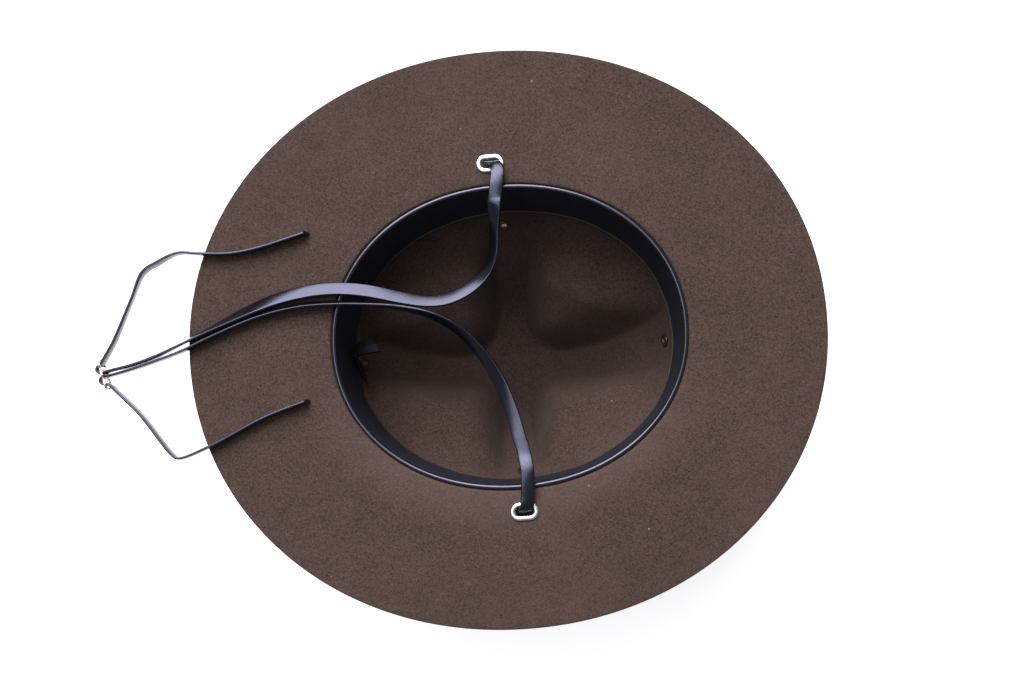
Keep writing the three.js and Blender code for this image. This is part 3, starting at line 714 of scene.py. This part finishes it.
# The felt is painted darker at the bottom of the crown: painted shade
bottom = 1 - felt_finish.part_of(places, "Z").between(0.003, 0.03)
fur = felt_finish.blend(bottom * 0.42, fur, (0.008, 0.0048, 0.0041, 1))
lint_places = {"Vector": places, "Scale": 120, "Randomness": 1}
lint = felt_finish.node("ShaderNodeTexVoronoi", {}, lint_places, "Distance")
rare = felt_finish.noise(places, 60, 0).between(0.7, 0.78)
fleck = (1 - lint.between(0.03, 0.07)) * rare
felt_finish.wear(
    Base_Color=felt_finish.blend((fleck * 0.8).held(), fur, (0.42, 0.39, 0.36, 1)),
    Roughness=0.88 + nap * 0.12,
    Normal=felt_finish.bump(nap * 0.6 + flock * 0.45 + hair * 0.25, 0.00045, 0.85),
)
felt_body = piece("felt_hat", felt_points, felt_faces, felt_finish.material)

# Holes for the two brim eyelets and the four vents
oval_hole = (0.0104, 0.0048)
oval_barrel = 0.0007
oval_out = 0.0987
oval_places = {"brim_eyelet_right": (-0.0009, oval_out), "brim_eyelet_left": (0.0028, -oval_out)}
vent_hole = 0.0019
vent_barrel = 0.0005
vent_seat = 0.0007
hole_room = 0.0003
cutter_sides = 40
oval_cut_reach, vent_cut_reach = 0.005, 0.007
# Each vent's quarter, its slip along the wall and its depth
vents = {
    "vent_front": (0, -0.003, 0.075),
    "vent_right": (1, 0, 0.073),
    "vent_back": (2, 0.002, 0.075),
    "vent_left": (3, 0, 0.075),
}


def stadium(length, width, grow, count):
    """Points round a hole with straight sides and round ends."""
    turn = (np.arange(count) + 0.5) * 2 * math.pi / count
    out = np.stack([np.cos(turn), np.sin(turn)], 1)
    return np.stack([np.sign(out[:, 0]) * (length - width) / 2, 0 * turn], 1) + out * (width / 2 + grow)


def vent_frame(name):
    """A vent's place, with its Z axis pointing into the hollow off the felt's inner face."""
    quarter_turn, slip, depth = vents[name]
    share = np.array([share_at(depth)])
    middle = quarter_turn * math.pi / 2
    reach = crown_inside(np.array([middle]), share)[0] - [crown_forward, 0, 0]
    angle = np.array([middle + slip / np.hypot(reach[0], reach[1])])
    inward = Vector(-crown_normal(angle, share)[0])
    turned = Vector((0, 0, 1)).rotation_difference(inward).to_matrix().to_4x4()
    return Matrix.Translation(Vector(crown_inside(angle, share)[0])) @ turned


def punched(body, cutters):
    """The piece with the cutters' holes in it, as a plain mesh."""
    for cutter in cutters:
        modifier = body.modifiers.new("hole", "BOOLEAN")
        modifier.operation = "DIFFERENCE"
        modifier.solver = "EXACT"
        modifier.object = cutter
    mesh = bpy.data.meshes.new_from_object(body.evaluated_get(bpy.context.evaluated_depsgraph_get()))
    body.modifiers.clear()
    body.data = mesh
    for cutter in cutters:
        bpy.data.objects.remove(cutter)


def hole_cutter(length, width, place, reach):
    loop = stadium(length, width, 0, cutter_sides)
    low = np.hstack([loop, np.full((cutter_sides, 1), -reach)])
    high = np.hstack([loop, np.full((cutter_sides, 1), reach)])
    bottom_face = list(range(cutter_sides))[::-1]
    top_face = list(range(cutter_sides, 2 * cutter_sides))
    faces = ring_faces(2, cutter_sides).tolist() + [bottom_face, top_face]
    cutter = piece("cutter", np.vstack([low, high]), faces, felt_finish.material)
    cutter.data.transform(place)
    return cutter


spare = 2 * (oval_barrel + hole_room)
vent_width = 2 * (vent_hole + vent_barrel + hole_room)
cutters = [
    hole_cutter(*(side + spare for side in oval_hole), Matrix.Translation((x, y, brim_face)), oval_cut_reach)
    for x, y in oval_places.values()
]
cutters += [hole_cutter(vent_width, vent_width, vent_frame(name), vent_cut_reach) for name in vents]
punched(felt_body, cutters)
smooth_by_angle(felt_body.data, 50)
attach(felt_body, "root")
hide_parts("felt_body")


# Sweatband
# A strip of smooth black leather, sewn to a covered cord that lies in the break of the brim. The
# strip hangs against the inside of the crown, its raw lower edge a tan line. One end laps the other
# at the back.
band_depth = 0.057
band_thickness = 0.0012
cord_radius = 0.0011
cord_half_width = 0.00135
cord_sink = 0.0003
seat_gap = 0.0003
# The raw lower edge curls into the hollow, and at the seam one end of the strip laps the other
edge_curl = 0.0006
edge_curl_depth = 0.0024
seam_slip = 0.0015
seam_stand = 0.0007
seam_soft = 0.0006
seam_reach = 0.045
band_turns = 320
band_angles = np.linspace(0, 2 * math.pi, band_turns, endpoint=False)
band_in = -level_outward(band_angles)


def band_ring(inset, depth):
    """A ring on the band: inset from the felt, and depth below the brim's face."""
    place = crown_inside(band_angles, share_at(max(depth, 0)))
    place = place + band_in * np.broadcast_to(inset, band_turns)[:, None]
    place[:, 2] = brim_face - depth
    return place


# The leather lies a little unevenly on the felt
lie_height = 0.00012
lie = lie_height * (
    np.sin(5 * band_angles + 0.4) + np.sin(11 * band_angles - 1.1) + 0.6 * np.sin(23 * band_angles)
)
wall_inset = seat_gap + 0.0001
band_rows = []
for turn in np.linspace(1.25, -0.3, 15) * math.pi:
    inset = seat_gap + cord_half_width * (1 + math.cos(turn))
    band_rows.append(band_ring(inset, cord_sink - cord_radius * math.sin(turn)))
cord_rows = len(band_rows) + 1
inner_profile = [
    # depth below the brim's face, and how far the leather stands off its usual inner face
    (0.0017, 0.0),
    (0.0021, -0.00035),
    (0.0026, -0.0002),
    (0.0032, 0.00005),
    (0.0036, 0.0004),
    (0.0040, 0.0001),
    (0.0046, -0.00012),
    (0.0053, 0.0),
    (0.008, 0.0),
]
for depth, stand in inner_profile:
    band_rows.append(band_ring(wall_inset + band_thickness + stand + lie * min(1, depth / 0.01), depth))
seam_off = (band_angles - math.pi) * opening_length / 2 - seam_slip
seam_lap = seam_stand * eased(0.5 + seam_off / seam_soft) * eased((seam_reach - seam_off) / seam_reach)
for share in np.linspace(0, 1, 19)[1:]:
    depth = 0.008 + (band_depth - 0.008 - edge_curl_depth) * share
    band_rows.append(band_ring(wall_inset + band_thickness + lie + seam_lap * min(1, share * 4), depth))
raw_edge_row = len(band_rows) + 1
for share in (0.3, 0.55, 0.8, 1):
    curl = edge_curl * share**1.5
    depth = band_depth - edge_curl_depth * (1 - share)
    band_rows.append(band_ring(wall_inset + band_thickness + lie + seam_lap + curl, depth))
band_rows.append(band_ring(wall_inset + band_thickness * 0.6 + edge_curl + lie, band_depth + 0.0002))
band_rows.append(band_ring(wall_inset + edge_curl * 0.8 + lie, band_depth + 0.0001))
raw_edge_end = len(band_rows) - 1
for depth in (band_depth - edge_curl_depth, band_depth * 0.7, band_depth * 0.4, 0.008, 0.0024):
    band_rows.append(band_ring(wall_inset + lie * 0.5, depth))
band_points = np.vstack(band_rows)
band_faces = ring_faces(len(band_rows), band_turns, closed_rings=True)

band_leather = Finish("black sweatband leather", Specular_IOR_Level=0.22, Specular_Tint=(0.7, 0.75, 1, 1))
places = band_leather.places()
pebble = band_leather.node("ShaderNodeTexVoronoi", {}, {"Vector": places, "Scale": 1100}, "Distance")
wrinkle = band_leather.noise(band_leather.stretched(places, (1, 1, 2.6)), 130, 3, 0.6)
polish = band_leather.noise(places, 45, 3, 0.6)
band_leather.wear(
    Base_Color=band_leather.blend(polish, (0.019, 0.02, 0.031, 1), (0.033, 0.0345, 0.052, 1)),
    Roughness=0.5 + polish * 0.2 + pebble * 0.06,
    Normal=band_leather.bump(pebble * 0.25 + wrinkle, 0.00012, 0.5),
)
cord_cover = Finish("glossy cord cover", Specular_IOR_Level=1.0, Specular_Tint=(0.78, 0.79, 1, 1))
crease = cord_cover.noise(cord_cover.places(), 260, 3, 0.6)
cord_cover.wear(
    Base_Color=cord_cover.blend(crease, (0.005, 0.005, 0.009, 1), (0.014, 0.014, 0.022, 1)),
    Roughness=0.1 + crease * 0.14,
    Normal=cord_cover.bump(crease, 0.00008, 0.4),
)
raw_edge = Finish("tan cut leather edge", Roughness=0.55)
fibre = raw_edge.noise(raw_edge.places(), 700, 3, 0.7)
# The edge shows tan toward the front and the wearer's right, and near-black at the back and on the wearer's
# left
front_right = (0.6, 1, 0)
apart = raw_edge.node(
    "ShaderNodeVectorMath", {"operation": "DOT_PRODUCT"}, {0: raw_edge.places(), 1: front_right}, "Value"
)
tan_side = (apart + raw_edge.noise(raw_edge.places(), 90, 2) * 0.03).between(0.0, 0.05)
cut = raw_edge.blend(fibre, (0.08, 0.063, 0.032, 1), (0.22, 0.175, 0.09, 1))
raw_edge.wear(
    Base_Color=raw_edge.blend(tan_side, (0.014, 0.014, 0.018, 1), cut),
    Normal=raw_edge.bump(fibre, 0.0001, 0.6),
)
sweatband = piece("leather_sweatband", band_points, band_faces, band_leather.material)
sweatband.data.materials.append(raw_edge.material)
sweatband.data.materials.append(cord_cover.material)
face_material = np.zeros(len(sweatband.data.polygons), int)
face_material[raw_edge_row * band_turns : raw_edge_end * band_turns] = 1
face_material[: cord_rows * band_turns] = 2
sweatband.data.polygons.foreach_set("material_index", face_material)
tidied(sweatband.data)
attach(sweatband, "root")
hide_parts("sweatband")


# Sweatband stitches
# Black thread in a lockstitch just below the covered cord. It holds the leather strip to the cord
# and the cord to the felt.
stitch_depth = 0.0043
stitch_pitch = 0.0026
stitch_long = 0.0019
stitch_radius = 0.00022

thread = Finish("black thread", Roughness=0.5, Specular_IOR_Level=0.5)
twist = thread.noise(thread.stretched(thread.places(), (2500, 2500, 900)), 1, 1)
thread.wear(
    Base_Color=thread.blend(twist, (0.012, 0.012, 0.016, 1), (0.05, 0.05, 0.06, 1)),
    Normal=thread.bump(twist, 0.0001, 0.6),
)


def node_tree(name, sockets):
    """A geometry tree with a geometry input and output and the named inputs."""
    tree = bpy.data.node_groups.new(name, "GeometryNodeTree")
    tree.interface.new_socket("Geometry", in_out="INPUT", socket_type="NodeSocketGeometry")
    found = {}
    for label, kind in sockets.items():
        found[label] = tree.interface.new_socket(label, in_out="INPUT", socket_type=kind).identifier
    tree.interface.new_socket("Geometry", in_out="OUTPUT", socket_type="NodeSocketGeometry")
    return tree, found


def geometry_node(tree, kind, settings=None, **inputs):
    node = tree.nodes.new(kind)
    for key, value in (settings or {}).items():
        setattr(node, key, value)
    for key, value in inputs.items():
        socket = node.inputs[key.replace("_", " ")]
        if isinstance(value, bpy.types.NodeSocket):
            tree.links.new(value, socket)
        else:
            socket.default_value = value
    return node


# A thread's stitches: short rounded bars set along the edges of a mesh line
stitch_tree, stitch_inputs = node_tree(
    "stitches along a line",
    {
        "Pitch": "NodeSocketFloat",
        "Length": "NodeSocketFloat",
        "Radius": "NodeSocketFloat",
        "Thread": "NodeSocketMaterial",
    },
)
given = stitch_tree.nodes.new("NodeGroupInput")
result = stitch_tree.nodes.new("NodeGroupOutput")
line = geometry_node(stitch_tree, "GeometryNodeMeshToCurve", Mesh=given.outputs["Geometry"])
spots = geometry_node(
    stitch_tree,
    "GeometryNodeResampleCurve",
    {"mode": "LENGTH"},
    Curve=line.outputs["Curve"],
    Length=given.outputs["Pitch"],
)
tangent = stitch_tree.nodes.new("GeometryNodeInputTangent")
turned = geometry_node(
    stitch_tree, "FunctionNodeAlignRotationToVector", {"axis": "Z"}, Vector=tangent.outputs["Tangent"]
)
bar = geometry_node(stitch_tree, "GeometryNodeMeshUVSphere", Segments=8, Rings=6, Radius=0.5)
sized = geometry_node(
    stitch_tree,
    "ShaderNodeCombineXYZ",
    X=given.outputs["Radius"],
    Y=given.outputs["Radius"],
    Z=given.outputs["Length"],
)
bar_placed = geometry_node(
    stitch_tree,
    "GeometryNodeInstanceOnPoints",
    Points=spots.outputs["Curve"],
    Instance=bar.outputs["Mesh"],
    Rotation=turned.outputs["Rotation"],
    Scale=sized.outputs["Vector"],
)
real = geometry_node(stitch_tree, "GeometryNodeRealizeInstances", Geometry=bar_placed.outputs["Instances"])
dressed = geometry_node(
    stitch_tree,
    "GeometryNodeSetMaterial",
    Geometry=real.outputs["Geometry"],
    Material=given.outputs["Thread"],
)
stitch_tree.links.new(dressed.outputs["Geometry"], result.inputs["Geometry"])


def grown(name, mesh, tree, identifiers, values):
    """What a geometry tree grows on a mesh, as a plain mesh piece."""
    made = bpy.data.objects.new(name, mesh)
    bpy.context.collection.objects.link(made)
    modifier = made.modifiers.new("grow", "NODES")
    modifier.node_group = tree
    for label, value in values.items():
        modifier[identifiers[label]] = value
    result_mesh = bpy.data.meshes.new_from_object(made.evaluated_get(bpy.context.evaluated_depsgraph_get()))
    made.modifiers.clear()
    made.data = result_mesh
    result_mesh.polygons.foreach_set("use_smooth", [True] * len(result_mesh.polygons))
    return made


stitch_line = band_ring(wall_inset + band_thickness - 0.00002 + lie * 0.4, stitch_depth)
line_mesh = bpy.data.meshes.new("stitch line")
line_mesh.from_pydata(
    [tuple(v) for v in stitch_line], [(i, (i + 1) % band_turns) for i in range(band_turns)], []
)
band_stitches = grown(
    "sweatband_stitches",
    line_mesh,
    stitch_tree,
    stitch_inputs,
    {
        "Pitch": stitch_pitch,
        "Length": stitch_long,
        "Radius": stitch_radius * 2,
        "Thread": thread.material,
    },
)
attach(band_stitches, "root")


# Ribbon bow
# A small bow of black grosgrain ribbon with patchy lavender lines along part of it, sewn on at the back of
# the band. One loop lies open toward the front, the other hangs on edge along the band.
ribbon_thickness = 0.00036
ribbon_line_pitch = 0.00125
knot_size = (0.0019, 0.0024, 0.0034)
knot_pleats = 7
knot_depth = 0.047
knot_off_felt = 0.0043
knot_behind = crown_inside(np.array([math.pi]), share_at(knot_depth))[0]
knot_place = Vector((knot_behind[0] + knot_off_felt, knot_behind[1], brim_face - knot_depth))
ribbon_steps = 6
ribbon_face_points = 9
open_loop_turn = 0.36
edge_loop_turn = math.atan2(-0.949, 0.315)
# Millimetres from the knot along, beside and above it, the direction across the ribbon, its width
open_loop = [
    (0, 0, 0.4, 0.1, 1, 0.1, 3),
    (2, 1.1, 1.4, 0.1, 1, 0.12, 5.2),
    (4.5, 1.8, 2.3, 0.08, 1, 0.16, 7.6),
    (8, 1.7, 2.8, 0.05, 1, 0.16, 8.8),
    (11.5, 1, 2.6, 0.05, 1, 0.1, 8.8),
    (14, 0.2, 1.8, 0.05, 1, 0.06, 8.5),
    (14.9, -0.1, 0.6, 0.04, 1, 0.02, 8.4),
    (14.2, -0.1, -0.6, 0.04, 1, 0, 8.3),
    (11, 0.6, -1.3, 0.02, 1, 0, 8),
    (7, 1.1, -1.3, 0, 1, 0, 7),
    (3.5, 0.8, -1, 0, 1, 0, 5.2),
    (0, 0, -0.4, 0, 1, 0, 3),
]
edge_loop = [
    (0, -0.4, 0, 0, 0.5, 0.87, 3),
    (3, -1, -0.2, 0, 0.5, 0.87, 4.6),
    (7, -1.1, -0.5, 0, 0.48, 0.88, 6.6),
    (11.5, -0.8, -0.8, 0, 0.42, 0.91, 7),
    (15.5, -0.3, -1, 0, 0.32, 0.95, 6.2),
    (18, 0.1, -1.1, 0, 0.2, 0.98, 4.6),
    (18.4, 0.4, -1.1, 0, 0.12, 0.99, 4.4),
    (17.6, 0.7, -1.1, 0, 0.16, 0.99, 4.8),
    (14, 1, -1, 0, 0.24, 0.97, 6.4),
    (9, 1.1, -0.6, 0, 0.28, 0.96, 7),
    (4, 0.8, -0.3, 0, 0.26, 0.97, 5),
    (0, 0.3, 0, 0, 0.25, 0.97, 3),
]


def ribbon_band(rows, turn, place):
    """A ribbon swept along the rows, as points, faces and lengths along and across it."""
    rows = np.array(rows, float)
    at = np.linspace(0, len(rows) - 1, ribbon_steps * (len(rows) - 1) + 1)
    middle = on_curve(rows[:, :3], at) / 1000
    across = on_curve(rows[:, 3:6], at)
    width = on_curve(np.repeat(rows[:, 6:], 3, 1), at)[:, 0] / 1000
    tangent = unit(np.gradient(middle, axis=0))
    across = unit(across - (across * tangent).sum(1, keepdims=True) * tangent)
    out = np.cross(tangent, across)
    one_way = np.linspace(-1, 1, ribbon_face_points)
    side = np.concatenate([one_way, -one_way])
    sides = len(side)
    face = np.where(np.arange(sides) < ribbon_face_points, 0.5, -0.5) * np.where(np.abs(side) == 1, 0.6, 1)
    points = (
        middle[:, None]
        + across[:, None] * (side[None, :] * width[:, None] / 2)[..., None]
        + out[:, None] * (face * ribbon_thickness)[None, :, None]
    )
    spin = np.array(Matrix.Rotation(turn, 3, "Z"))
    length = length_along(middle)
    lay = np.stack([np.repeat(length, sides), np.tile(side, len(at)) * np.repeat(width, sides) / 2], 1)
    faces = ring_faces(len(at), sides).tolist()
    faces += [list(range(sides))[::-1], list(range((len(at) - 1) * sides, len(at) * sides))]
    return points.reshape(-1, 3) @ spin.T + np.array(place), faces, lay


def knot_lump():
    """The knot: a lump of ribbon with pleats round it."""
    rows, turns = 17, 42
    pole_gap, pleat_depth, pleat_lean, squareness, step = 0.12, 0.09, 0.8, 0.7, 0.0004
    polar = np.linspace(pole_gap, math.pi - pole_gap, rows)[:, None]
    round_angle = np.linspace(0, 2 * math.pi, turns, endpoint=False)[None, :]
    pleat = 1 - pleat_depth * np.abs(np.sin(round_angle * knot_pleats / 2 + polar * pleat_lean))
    lump = np.stack([
        np.sin(polar) ** squareness * np.cos(round_angle) * pleat * knot_size[0],
        np.sin(polar) ** squareness * np.sin(round_angle) * pleat * knot_size[1],
        -np.cos(polar) * knot_size[2] + 0 * round_angle,
    ], 2)
    lay = np.stack([np.repeat(np.arange(rows) * step, turns), np.tile(np.arange(turns) * step, rows)], 1)
    faces = ring_faces(rows, turns).tolist()
    faces += [list(range(turns))[::-1], list(range((rows - 1) * turns, rows * turns))]
    return lump.reshape(-1, 3) + np.array(knot_place), faces, lay


grosgrain = Finish("black grosgrain ribbon", Roughness=0.7, Specular_IOR_Level=0.2)
weave = grosgrain.along("weave")
ribs = grosgrain.node(
    "ShaderNodeTexWave",
    {"wave_type": "BANDS", "bands_direction": "X"},
    {"Vector": weave, "Scale": 520, "Distortion": 0},
    "Fac",
)
across_weave = grosgrain.part_of(weave, "Y")
lines = grosgrain.node(
    "ShaderNodeMath", {"operation": "SINE"}, {0: across_weave * (2 * math.pi / ribbon_line_pitch)}
).between(0.2, 0.95)
lined = (1 - across_weave.between(0.0008, 0.0018)) * across_weave.between(-0.0042, -0.0032)
along_weave = grosgrain.part_of(weave, "X")
faded = grosgrain.noise(grosgrain.stretched(weave, (90, 900, 1)), 1, 2).between(0.32, 0.62)
shown = lines * lined * faded * along_weave.between(0.003, 0.009)
grosgrain.wear(
    Base_Color=grosgrain.blend(shown, (0.008, 0.0075, 0.0125, 1), (0.085, 0.075, 0.15, 1)),
    Normal=grosgrain.bump(ribs * 0.7 + lines * 0.3, 0.00006, 0.6),
)
bow_parts = [
    ribbon_band(open_loop, open_loop_turn, knot_place),
    ribbon_band(edge_loop, edge_loop_turn, knot_place),
    knot_lump(),
]
bow_points, bow_faces, bow_lay = [], [], []
for points, faces, lay in bow_parts:
    start = sum(len(made) for made in bow_points)
    bow_points.append(points)
    bow_lay.append(lay)
    bow_faces += [[start + i for i in face] for face in faces]
ribbon_bow = piece("grosgrain_bow", np.vstack(bow_points), bow_faces, grosgrain.material)
map_piece(ribbon_bow, "weave", np.vstack(bow_lay))
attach(ribbon_bow, "root")
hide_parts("ribbon_bow")


# Brim eyelets
# Two oval eyelets of nickel-plated brass, set through the brim with a long rolled flange on the
# face and a clenched one behind. Their slots carry the chin strap.
oval_flange = 0.0028
oval_dome = 0.00115
# The way out from the hole's edge as a share of the flange, and the height as a share of the dome
eyelet_face = [
    (0.0, -0.25),
    (0.0, 0.1),
    (0.02, 0.4),
    (0.08, 0.74),
    (0.17, 0.93),
    (0.3, 1.0),
    (0.52, 1.02),
    (0.74, 0.99),
    (0.87, 0.88),
    (0.96, 0.6),
    (1.0, 0.1),
    (0.98, 0.0),
]
eyelet_back = [(0.92, 0.0), (0.9, 0.4), (0.74, 0.7), (0.5, 0.85), (0.25, 0.8), (0.08, 0.55), (0.0, 0.2)]


def eyelet_mesh(name, length, width, flange, dome, barrel, seat, wall, count, face_rows, back_rows, finish):
    """A closed eyelet round a hole: face flange, barrel through the felt, and clenched back flange."""
    rows = [(out * flange, seat + up_share * dome) for out, up_share in face_rows]
    rows += [(barrel, seat), (barrel, -wall - seat)]
    rows += [(out * flange, -wall - seat - up_share * dome) for out, up_share in back_rows]
    points = []
    for out, height in rows:
        loop = stadium(length, width, out, count)
        points.append(np.hstack([loop, np.full((count, 1), height)]))
    return piece(name, np.vstack(points), ring_faces(len(rows), count, closed_rings=True), finish.material)


nickel = Finish("bright nickel plate", Metallic=1)
places = nickel.places()
# Below the brim's face the barrel is painted near-black: painted shade inside the hole
above_face = nickel.part_of(places, "Z").between(brim_face - 0.0008, brim_face + 0.0002)
smear = nickel.noise(places, 700, 3, 0.6)
plate = nickel.blend(smear, (0.84, 0.84, 0.86, 1), (0.96, 0.96, 0.97, 1))
nickel.wear(
    Base_Color=nickel.blend(above_face, (0.05, 0.05, 0.055, 1), plate),
    Roughness=0.2 + smear * 0.16,
    Normal=nickel.bump(nickel.noise(places, 1600, 2), 0.00003, 0.4),
)
for name, (x, y) in oval_places.items():
    oval = eyelet_mesh(
        name.replace("brim_eyelet", "oval_eyelet"),
        *oval_hole,
        oval_flange,
        oval_dome,
        oval_barrel,
        hole_room,
        brim_thickness,
        72,
        eyelet_face,
        eyelet_back,
        nickel,
    )
    oval.data.transform(Matrix.Translation((x, y, brim_face)))
    tidied(oval.data)
    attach(oval, "root")
    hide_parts(name)


# Vents
# Four small brass eyelets, browned to match the felt, let air out of the crown, one on each ridge.
vent_flange = 0.0021
vent_dome = 0.0008

browned = Finish("browned brass", Metallic=0.8)
patina = browned.noise(browned.places(), 900, 3, 0.6)
browned.wear(
    Base_Color=browned.blend(patina, (0.075, 0.045, 0.04, 1), (0.24, 0.16, 0.14, 1)),
    Roughness=0.28 + patina * 0.2,
)
for name in vents:
    vent = eyelet_mesh(
        name.replace("vent", "vent_eyelet"),
        2 * vent_hole,
        2 * vent_hole,
        vent_flange,
        vent_dome,
        vent_barrel,
        vent_seat,
        felt_wall,
        40,
        eyelet_face,
        eyelet_back,
        browned,
    )
    vent.data.transform(vent_frame(name))
    tidied(vent.data)
    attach(vent, "root")
    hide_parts(name)


# Floor and light
# A pale floor that glows evenly, with a dark disc painted under the hat as its shadow, under two soft
# boxes beyond the top of the picture and weak even light all round. The boxes leave the upper side of the
# hollow in shade.
floor_finish = Finish("pale floor", Roughness=0.9, Emission_Strength=0.75)
from_hat = floor_finish.length_of(floor_finish.places())
# Under the hat the floor is painted dark and does not glow: a painted shadow
outside_painted_shadow = from_hat.between(0.125, 0.14)
floor_finish.wear(
    Base_Color=floor_finish.blend(outside_painted_shadow, (0.03, 0.03, 0.03, 1), (0.9, 0.9, 0.91, 1)),
    Emission_Color=floor_finish.blend(outside_painted_shadow, (0, 0, 0, 1), (0.98, 0.98, 1, 1)),
)
floor_half = 4
floor_corners = [(x * floor_half, y * floor_half, 0) for x, y in ((-1, -1), (1, -1), (1, 1), (-1, 1))]
floor = piece("floor", floor_corners, [(0, 1, 2, 3)], floor_finish.material)


def soft_light(name, toward, distance, size, brightness, colour):
    """A soft box in a direction from the hat, as bright as the given radiance."""
    lamp = bpy.data.lights.new(name, "AREA")
    lamp.shape = "RECTANGLE"
    lamp.size, lamp.size_y = size
    lamp.energy = brightness * math.pi * size[0] * size[1]
    lamp.color = colour
    holder = bpy.data.objects.new(name, lamp)
    reach = Vector(toward).normalized() * distance
    holder.location = aim + reach
    holder.rotation_euler = (-reach).to_track_quat("-Z", "Y").to_euler()
    bpy.context.collection.objects.link(holder)


box_distance = 4
box_colour = (1, 0.98, 1)
soft_light("soft box", (-0.19, 0.9, 1), box_distance, (3.1, 3.5), 7.3, box_colour)
soft_light("low end of the soft box", (-0.19, 0.14, 1), box_distance, (3.1, 1.5), 2.6, box_colour)
world = bpy.data.worlds.new("studio")
world.use_nodes = True
world.node_tree.nodes["Background"].inputs["Color"].default_value = (0.93, 0.95, 1, 1)
world.node_tree.nodes["Background"].inputs["Strength"].default_value = 0.2
bpy.context.scene.world = world
bpy.context.scene.view_settings.view_transform = "Standard"
